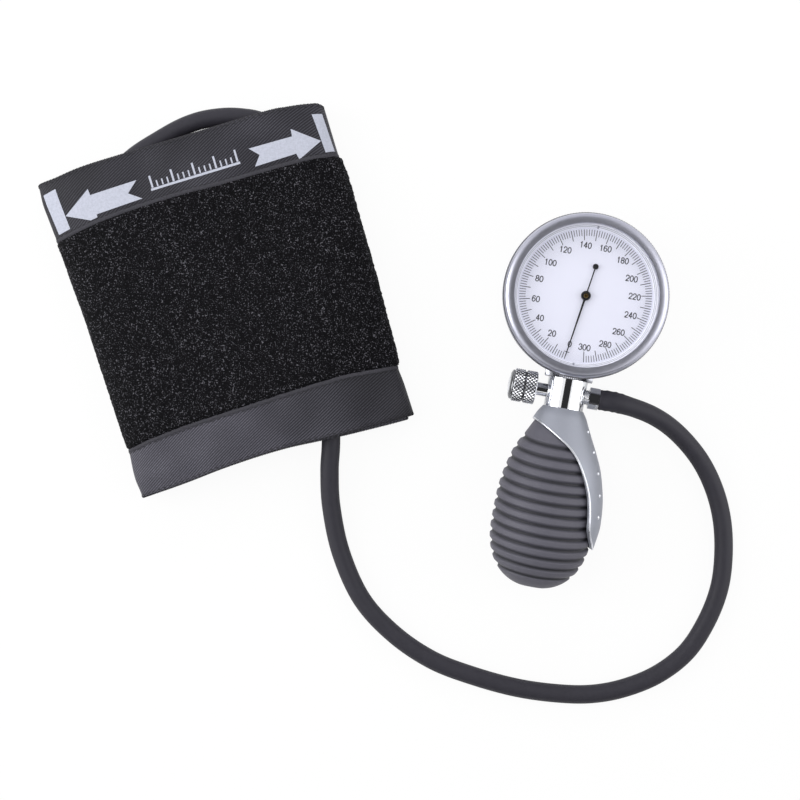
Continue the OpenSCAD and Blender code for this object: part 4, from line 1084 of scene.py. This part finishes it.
# The bezel: a rounded satin ring with a coin edge on its skirt
bezelPlan = {
    "radius": 34.8,
    "skirtFrom": 30.9,
    "slopeMiddle": (30.3, 35.0),
    "slope": (4.05, 3.6),    # across and up
    "fullness": 3.2,
    "ledge": 34.5,           # height of the coin edge that shows round the slope
    "window": 30.05,
    "crest": 38.58,
    "lip": 36.8,
    "bore": 32.45,
    "teeth": 180,
    "toothDepth": 0.16,
    "toothFrom": 31.5,
    "bevel": 0.3,
    "sides": 720,
}


def makeBezel():
    b = bezelPlan
    profile = [(b["bore"], b["skirtFrom"]), (b["radius"] - b["bevel"], b["skirtFrom"]),
               (b["radius"], b["skirtFrom"] + b["bevel"])]
    profile += [(b["radius"], z) for z in np.linspace(b["toothFrom"], b["ledge"], 4)]
    (r, z), (wide, tall) = b["slopeMiddle"], b["slope"]
    skirt = len(profile) + 1
    profile += [(r + wide, b["ledge"])]
    full = 2 / b["fullness"]
    profile += [(r + wide * math.cos(a) ** full, z + tall * math.sin(a) ** full)
                for a in np.radians(np.linspace(0, 89, 48))]
    profile += [(b["window"] + 0.1, b["crest"]), (b["window"], b["crest"] - 0.13),
                (b["window"], b["lip"]), (b["bore"], b["lip"])]

    def teeth(around, radius, z):
        onSkirt = (radius > b["radius"] - 0.01) & (z > b["toothFrom"] - 0.1)
        return onSkirt * b["toothDepth"] * (0.5 + 0.5 * np.cos(around * b["teeth"]))

    points = spin(profile, b["sides"], teeth)
    # painted shade: the skirt and its coin edge are darkened into a dark outline round the bead
    paintedShade = np.zeros((b["sides"], len(profile)))
    paintedShade[:, :skirt] = 1
    faces = gridFaces(b["sides"], len(profile), closeRows=True, closeColumns=True)
    addPiece("bezel_bead", onUnit(points), faces, "satinSilver", "bezel_ring", paintedShade=paintedShade)


# The white ring that keeps the lens off the dial, with two fine grooves in its slope
lensRingPlan = {
    "inner": 28.5,
    "outer": 31.2,
    "foot": 31.82,
    "top": 34.38,
    "wallTop": 0.9,           # above the foot, as the slope's start
    "slopeFrom": 0.95,
    "slopeTo": 30.0,          # radius where the slope reaches the top
    "spacing": 0.04,
    "grooves": (28.95, 29.5),
    "grooveDeep": 0.1,
    "grooveWidth": (0.05, 0.2),
    "notchTo": 29.6,
    "notchWidth": (0.3, 0.9),  # degrees where its painted dark floor ends and where it's out
    "darkness": (0.8, 1.6),    # painted shade of the grooves and of the notches
    "sides": 720,
}


def makeLensRing():
    p = lensRingPlan
    start = p["foot"] + p["slopeFrom"]
    profile = [(p["outer"], p["foot"]), (p["inner"], p["foot"]), (p["inner"], p["foot"] + p["wallTop"])]
    grooveShades = [0, 0, 0]
    for r in np.arange(p["inner"] + p["spacing"], p["slopeTo"], p["spacing"]):
        near = min(abs(r - g) for g in p["grooves"])
        share = 1 - float(step(*p["grooveWidth"], near))
        rise = start + (p["top"] - start) * (r - p["inner"]) / (p["slopeTo"] - p["inner"])
        profile.append((float(r), rise - p["grooveDeep"] * share))
        grooveShades.append(share)
    profile += [(p["slopeTo"], p["top"]), (p["outer"], p["top"])]
    grooveShades += [0, 0]
    sides = p["sides"]
    points = spin(profile, sides)
    fromNotch = (np.arange(sides) * 360 / sides + 90) % 180
    fromNotch = np.minimum(fromNotch, 180 - fromNotch)[:, None]
    notch = (1 - step(*p["notchWidth"], fromNotch)) * (np.array(profile)[None, :, 0] < p["notchTo"])
    faces = gridFaces(sides, len(profile), closeRows=True, closeColumns=True)
    # painted shade in the two grooves and the two notches
    grooveDark, notchDark = p["darkness"]
    paintedShade = np.maximum(np.array(grooveShades)[None, :] * grooveDark, notchDark * notch)
    addPiece("lens_ring_grooved", onUnit(points), faces, "whiteRing", "lens_ring", paintedShade=paintedShade)


# The saddle between the round case and the manifold, with a fine knurl on its rim
saddlePlan = {
    "wider": 1.1,
    "front": 35.4,
    "bore": 4.05,
    "caseRadius": 33.25,
    "teeth": 72,
    "toothDepth": 0.3,
    # Radius of each ring round the plate, share of the way back to the case, and whether it's knurled
    "rings": [(6.5, 1, 0), (8.6, 1, 0), (9.3, 1, 1), (9.3, 0.6, 1), (9.3, 0.14, 1), (9.1, 0, 1), (7, 0, 0)],
}


def makeSaddle():
    p = saddlePlan
    count = p["teeth"] * 6
    around = np.arange(count) * 2 * math.pi / count
    ridge = 0.5 + 0.5 * np.cos(around * p["teeth"])
    rings = []
    for radius, deep, dented in [(p["bore"], 1, 0)] + p["rings"] + [(p["bore"], 0, 0)]:
        r = radius - dented * p["toothDepth"] * ridge
        x, y = r * np.cos(around) * (p["wider"] if dented else 1), r * np.sin(around)
        back = np.sqrt(p["caseRadius"] ** 2 - x ** 2)
        rings.append(np.stack([x, y, p["front"] + (back - p["front"]) * deep], -1))
    points = np.stack(rings, 1)
    # painted shade in the dents of the knurled rim
    paintedShade = np.zeros(points.shape[:2])
    paintedShade[:, 3:7] = ridge[:, None]
    faces = gridFaces(count, len(rings), closeRows=True, closeColumns=True)
    addPiece("saddle_plate", onAxis(points), faces, "rimSteel", "saddle", paintedShade=paintedShade)


# The release knob: diamond knurl, a groove round its middle and a domed end
knobPlan = {
    "radius": 7.05,
    "from": 12.8,
    "length": 10.0,
    "grooveAt": 18.0,
    "grooveDeep": 0.75,
    "grooveWidth": (0.3, 0.5),
    "gripInset": (0.45, 0.35),   # of the knurl from both ends
    "spacing": 0.17,
    "diamonds": 26,
    "knurl": 0.42,
    "knurlSteep": 1.15,
    "back": [(1.7, 0), (5.6, 0), (6.3, 0.12)],   # radius and place from the back end
    "cap": [(6.45, -0.1), (6.0, 0), (6.0, 0.15), (6.3, 0.25)],   # and from the grip's front end
    "domeRadius": 6.3,
    "domeFrom": 23.05,
    "domeTop": 24.75,
    "domeReflectionFrom": 4.6,   # radius from which the painted dark reflection round the dome runs out
    "knurlDark": (0.45, 0.75),   # depth of the knurl where its painted shade starts and where it's darkest
    "grooveDark": 0.6,
    "domeReflectionDark": 0.8,
}


def makeKnob():
    k = knobPlan
    end = k["from"] + k["length"]
    profile = [(r, k["from"] + t) for r, t in k["back"]]
    back, front = k["gripInset"]
    profile += [(k["radius"], t) for t in np.arange(k["from"] + back, end - front, k["spacing"])]
    profile += [(r, end + t) for r, t in k["cap"]]
    rise = k["domeTop"] - k["domeFrom"]
    profile += [(k["domeRadius"] * math.cos(a), k["domeFrom"] + rise * math.sin(a))
                for a in np.radians(np.linspace(0, 89, 16))]

    def depth(around, radius, t):
        pitch = 2 * math.pi * k["radius"] / k["diamonds"]
        a = (around * k["radius"] + t) / pitch
        b = (around * k["radius"] - t) / pitch
        ridge = np.minimum(np.abs(a - np.round(a)), np.abs(b - np.round(b))) * 2
        onGrip = radius > k["radius"] - 0.01
        knurl = np.clip(1 - k["knurlSteep"] * ridge, 0, 1)
        groove = 1 - step(*k["grooveWidth"], np.abs(t - k["grooveAt"]))
        return onGrip * knurl, onGrip * groove

    def dent(around, radius, t):
        knurl, groove = depth(around, radius, t)
        return np.maximum(k["knurl"] * knurl, k["grooveDeep"] * groove)

    rows = k["diamonds"] * 10
    points = spin(profile, rows, dent)
    flat = np.array(profile)
    knurl, groove = depth(np.arange(rows)[:, None] * 2 * math.pi / rows, flat[None, :, 0], flat[None, :, 1])
    # painted shade: the knurl's pits, the middle groove and the ring where the cap meets the grip are
    # darkened
    rim = np.where((flat[:, 1] > end - 0.05) & (flat[:, 1] < end + 0.2), 1.0, 0.0)[None, :]
    # painted reflection: a dark band round the outer part of the dome
    domeReflection = k["domeReflectionDark"] * ((flat[:, 1] > end + 0.3) & (flat[:, 0] > k["domeReflectionFrom"]))[None, :]
    grip = np.maximum(step(*k["knurlDark"], knurl), k["grooveDark"] * groove)
    paintedShade = np.maximum(grip, np.maximum(rim, domeReflection))
    addPiece("release_knob_knurled", onValve(points), gridFaces(rows, len(profile), closeRows=True),
             "knurledSteel", "release_knob", body="knob", sharp=25, paintedShade=paintedShade)


# The nipple: a short thread beside the manifold and a barb inside the hose
nipplePlan = {
    "bore": 1.2,
    "from": 5.4,
    "shank": 2.6,
    "thread": (3.2, 0.28, 0.7),  # radius, depth and pitch
    "threadFrom": 7.6,
    "threadTo": 9.8,
    "shankTo": 14.3,
    "barbs": (16.3, 2.6, 3),     # first, spacing and number
    "barb": (2.2, 1.9),          # crest and root radius
    "end": 23.3,
    "sides": 64,
}


def makeNipple():
    p = nipplePlan
    radius, deep, pitch = p["thread"]
    profile = [(p["bore"], p["from"]), (p["shank"], p["from"]), (p["shank"], p["threadFrom"] - 0.05)]
    profile += [(radius - deep * (0.5 + 0.5 * math.cos(2 * math.pi * t / pitch)), t)
                for t in np.arange(p["threadFrom"], p["threadTo"], 0.07)]
    crest, root = p["barb"]
    profile += [(p["shank"], p["threadTo"]), (p["shank"], p["shankTo"]), (root, p["shankTo"] + 0.05)]
    first, spacing, number = p["barbs"]
    for k in range(number):
        profile += [(crest, first + spacing * k), (root, first + 1.9 + spacing * k)]
    profile += [(root - 0.05, p["end"] - 0.1), (p["bore"], p["end"])]
    points = onConnector(spin(profile, p["sides"]))
    faces = gridFaces(p["sides"], len(profile), closeRows=True, closeColumns=True)
    addPiece("hose_nipple_threaded", points, faces, "chrome", "hose_nipple")


makeBezel()
makeLensRing()
makeSaddle()
makeKnob()
makeNipple()
print("gauge metalwork made")

# The dial's scale: plain ticks and numbers, printed on the plate
dialPlan = {
    "surface": 31.8,
    "ink": (0.005, 0.05),      # foot and top of the print above the plate
    "outer": 27.8,
    "tick": (2.7, 0.25),       # length and width
    "tenTick": (4.5, 0.3),
    "zeroBar": (24.58, 24.82, 2.4),   # from and to this radius, and its width
    "numberRadius": (21.3, 20.3),   # of short numbers, and of long ones at the sides
    "digit": (1.3, 2.35, 1.74),     # width and height of a digit's centre line, and the pitch
    "stroke": 0.4,
    "numberLift": 0.1,
    "numberShift": {  # right and up on the table, where a number stands off its circle
        0: (0.2, -0.1), 20: (0.08, 0.17), 40: (0.08, -0.08), 60: (0.46, -0.33), 80: (0.63, -0.25),
        100: (0.33, -0.17), 120: (0.08, 0.08), 140: (0.46, -0.08), 160: (0.46, -0.08), 180: (0.79, -0.25),
        200: (0.25, -0.79), 220: (0.17, -0.33), 240: (0.08, -0.17), 260: (-0.54, -0.33),
        280: (0.63, -0.71), 300: (0.17, -0.38),
    },
    "highest": 300,
    "span": 343.0,
    "zeroAt": 261.5,     # degrees, from the dial's right, counter-clockwise
}


def valueAngle(value):
    return math.radians(dialPlan["zeroAt"] - dialPlan["span"] * value / dialPlan["highest"])


def prism(outline, low, high):
    count = len(outline)
    points = [(x, y, low) for x, y in outline] + [(x, y, high) for x, y in outline]
    faces = [[count + k for k in range(count)], [count - 1 - k for k in range(count)]]
    faces += [[k, (k + 1) % count, count + (k + 1) % count, count + k] for k in range(count)]
    return points, faces


def radialBar(angle, inner, outer, width):
    c, s = math.cos(angle), math.sin(angle)
    half = width / 2
    return [(r * c - w * s, r * s + w * c) for r, w in
            ((inner, -half), (outer, -half), (outer, half), (inner, half))]


def makeScale():
    d = dialPlan
    outlines = []
    for value in range(0, d["highest"] + 1, 2):
        length, width = d["tick"] if value % 10 else d["tenTick"]
        outlines.append(radialBar(valueAngle(value), d["outer"] - length, d["outer"], width))
    outlines.append(radialBar(valueAngle(0), *d["zeroBar"]))
    foot, top = d["surface"] + d["ink"][0], d["surface"] + d["ink"][1]
    points, faces = joined([prism(outline, foot, top) for outline in outlines])
    addPiece("dial_ticks", onUnit(points), faces, "blackInk")


def loop(x, y, wide, tall):
    return [(x + wide * math.cos(a), y + tall * math.sin(a)) for a in np.arange(28) * math.pi / 14]


def curved(*points):
    return list(zip(*smoothTable(points, 4)))


# Centre lines of the digits in a cell from -0.5 to 0.5, each with whether it closes on itself
digitLines = {
    "0": [(loop(0, 0, 0.5, 0.5), True)],
    "1": [([(-0.32, 0.24), (-0.1, 0.34), (0.06, 0.5)], False), ([(0.06, 0.56), (0.06, -0.57)], False)],
    "2": [(curved((-0.47, 0.18), (-0.4, 0.38), (-0.2, 0.49), (0.04, 0.5), (0.32, 0.43), (0.45, 0.24),
                  (0.38, 0.04), (0.12, -0.15), (-0.25, -0.34), (-0.46, -0.5)), False),
          ([(-0.58, -0.5), (0.52, -0.5)], False)],
    "3": [(curved((-0.45, 0.25), (-0.35, 0.42), (-0.08, 0.5), (0.25, 0.46), (0.42, 0.28), (0.32, 0.09),
                  (0.02, 0.04)), False),
          (curved((0.02, 0.04), (0.36, -0.05), (0.49, -0.24), (0.36, -0.44), (0.02, -0.5), (-0.34, -0.43),
                  (-0.48, -0.24)), False)],
    "4": [([(0.2, 0.56), (0.2, -0.57)], False), ([(0.2, 0.5), (-0.48, -0.22)], False),
          ([(-0.56, -0.22), (0.56, -0.22)], False)],
    "6": [(curved((0.44, 0.3), (0.28, 0.46), (0.02, 0.5), (-0.28, 0.4), (-0.44, 0.14), (-0.47, -0.17)),
           False),
          (loop(0, -0.2, 0.47, 0.3), True)],
    "8": [(loop(0, 0.26, 0.4, 0.24), True), (loop(0, -0.24, 0.47, 0.26), True)],
}


def strokeMesh(line, closed, half, low, high):
    line = np.array(line)
    if closed:
        along = np.roll(line, -1, axis=0) - np.roll(line, 1, axis=0)
    else:
        along = np.gradient(line, axis=0)
    along /= np.linalg.norm(along, axis=1)[:, None]
    across = np.stack([-along[:, 1], along[:, 0]], -1) * half
    rows = []
    for side, height in ((1, low), (-1, low), (-1, high), (1, high)):
        edge = line + side * across
        rows.append(np.stack([edge[:, 0], edge[:, 1], 0 * edge[:, 0] + height], -1))
    points = np.stack(rows, 1)
    faces = gridFaces(len(line), 4, closeRows=closed, closeColumns=True)
    if not closed:
        faces += [[0, 1, 2, 3], [len(line) * 4 - k for k in (1, 2, 3, 4)]]
    return points.reshape(-1, 3), faces


def makeNumbers():
    d = dialPlan
    wide, tall, pitch = d["digit"]
    near, far = d["numberRadius"]
    foot, top = d["surface"] + d["ink"][0], d["surface"] + d["ink"][1]
    strokes = []
    for value in range(0, d["highest"] + 1, 20):
        angle = valueAngle(value)
        sideways = abs(math.cos(angle)) ** 2 if value >= 100 else 0.0
        radius = near + (far - near) * sideways
        digits = str(value)
        shiftX, shiftY = turned(*d["numberShift"][value], -unitPlan["turn"])
        for place, digit in enumerate(digits):
            x = radius * math.cos(angle) + (place - (len(digits) - 1) / 2) * pitch + shiftX
            y = radius * math.sin(angle) + d["numberLift"] + shiftY
            for line, closed in digitLines[digit]:
                line = [(x + wide * px, y + tall * py) for px, py in line]
                strokes.append(strokeMesh(line, closed, d["stroke"] / 2, foot, top))
    points, faces = joined(strokes)
    addPiece("dial_numbers", onUnit(points), faces, "blackInk")


makeScale()
makeNumbers()
print("dial printed")

# Finishes of the pieces that come straight from the frame
nodeFinish = {
    "caseSilver": ["gauge_case"],
    "clearLens": ["lens"],
    "sealRubber": ["lens_gasket", "stub_seal", "valve_ring", "nipple_seal", "outlet_flap", "end_valve_flap",
                   "bladder_port"],
    "whiteEnamel": ["dial_plate"],
    "blackPaint": ["pointer"],
    "brass": ["pointer_bush", "pinion", "sector_gear", "lower_plate", "upper_plate", "pillars", "stem_block",
              "pressure_tube", "outlet_seat", "end_valve_seat"],
    "blueSpring": ["hairspring"],
    "machinedSteel": ["sector_arbor", "rocking_shaft", "movement_screws", "capsule_stud", "valve_spindle",
                      "end_valve_body"],
    "bronzeSheet": ["capsule_base", "capsule_top"],
    "chrome": ["manifold", "valve_bush", "hose_nut"],
    "feltWhite": ["end_valve_filter"],
}
for finishName, names in nodeFinish.items():
    for name in names:
        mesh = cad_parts[name].data
        mesh.materials.clear()
        mesh.materials.append(finishes[finishName])

# Floor, light cards and lamps
stagePlan = {
    "floorHeight": -0.0003,
    "floorSize": 6.0,
    "floorGlow": 0.93,      # share of plain white that the camera sees, the rest holds the shadow
    "world": 0.5,
    "aim": (0.02, -0.02, 0.0),   # where the lamps point
    # Cards that only reflections show: place, size and brightness
    "overheadCard": ((0.10, 0.0, 0.97), (0.66, 1.6), 0.03),
    "nearCard": ((0.04, -0.85, 0.35), (1.6, 0.6), 0.08),
    "farCard": ((0.04, 0.95, 0.45), (1.5, 0.9), 0.85),
    "lamps": [  # name, place, size, power, shown in reflections
        ("leftBox", (-0.75, 0.05, 0.42), (0.55, 0.9), 5.4, True),
        ("rightBox", (0.78, 0.0, 0.42), (0.55, 0.9), 2.6, True),
        ("backBox", (0.0, 0.85, 0.5), (0.9, 0.45), 2.6, False),
        ("overhead", (-0.10, 0.06, 1.1), (0.7, 0.7), 4.6, False),
    ],
}


def glowSurface(name, brightness):
    card, tree, shader = newFinish(name, {})
    tree.nodes.remove(shader)
    colour = (brightness, brightness, brightness * 1.04, 1)
    setSurface(tree, addNode(tree, "ShaderNodeEmission", {"Color": colour}))
    return card


def seenBy(tree, *rays):
    path = addNode(tree, "ShaderNodeLightPath")
    found = path.outputs[rays[0]]
    for ray in rays[1:]:
        found = combined(tree, "MAXIMUM", found, path.outputs[ray])
    return found


def addSheet(name, size, place, look, tilt=0):
    w, h = size[0] / 2, size[1] / 2
    mesh = bpy.data.meshes.new(name)
    mesh.from_pydata([(-w, -h, 0), (w, -h, 0), (w, h, 0), (-w, h, 0)], [], [(0, 1, 2, 3)])
    mesh.materials.append(look)
    sheet = bpy.data.objects.new(name, mesh)
    sheet.location = place
    sheet.rotation_euler = (math.radians(tilt), 0, 0)
    bpy.context.scene.collection.objects.link(sheet)
    return sheet


def makeFloor():
    cloth, tree, shader = newFinish("paleFloor", {"Roughness": 0.9, "Base Color": (0.8, 0.8, 0.8, 1),
                                                  "Specular IOR Level": 0.0})
    glow = addNode(tree, "ShaderNodeEmission", {"Color": (1, 1, 1, 1)})
    seen = seenBy(tree, "Is Camera Ray", "Is Transmission Ray")
    share = combined(tree, "MULTIPLY", seen, stagePlan["floorGlow"])
    blend = {0: share, 1: shader.outputs[0], 2: glow.outputs[0]}
    setSurface(tree, addNode(tree, "ShaderNodeMixShader", blend))
    size = stagePlan["floorSize"]
    addSheet("floor", (size, size), (0, 0, stagePlan["floorHeight"]), cloth)


def makeCard(name, tilt):
    middle, size, brightness = stagePlan[name]
    card = addSheet(name, size, middle, glowSurface(name, brightness), tilt)
    card.visible_camera = False
    card.visible_diffuse = False
    card.visible_shadow = False
    card.visible_transmission = False


def makeLamps():
    for name, place, size, power, shown in stagePlan["lamps"]:
        lamp = bpy.data.lights.new(name, "AREA")
        lamp.shape = "RECTANGLE"
        lamp.size, lamp.size_y = size
        lamp.energy = power
        lampObject = bpy.data.objects.new(name, lamp)
        lampObject.location = place
        direction = np.array(stagePlan["aim"]) - np.array(place)
        yaw = math.atan2(direction[1], direction[0])
        tilt = math.acos(-direction[2] / np.linalg.norm(direction))
        lampObject.rotation_euler = (tilt, 0, yaw - math.pi / 2)
        lampObject.visible_glossy = shown
        bpy.context.scene.collection.objects.link(lampObject)


def makeWorld():
    world = bpy.data.worlds.new("studio")
    bpy.context.scene.world = world
    world.use_nodes = True
    tree = world.node_tree
    back = tree.nodes["Background"]
    back.inputs["Color"].default_value = (1, 1, 1, 1)
    seen = seenBy(tree, "Is Camera Ray", "Is Glossy Ray", "Is Transmission Ray")
    tree.links.new(rangeOf(tree, seen, 0.0, 1.0, stagePlan["world"], 1.0), back.inputs["Strength"])


makeFloor()
makeCard("overheadCard", 0)
makeCard("nearCard", 90)
makeCard("farCard", 90)
makeLamps()
makeWorld()
print("stage set")
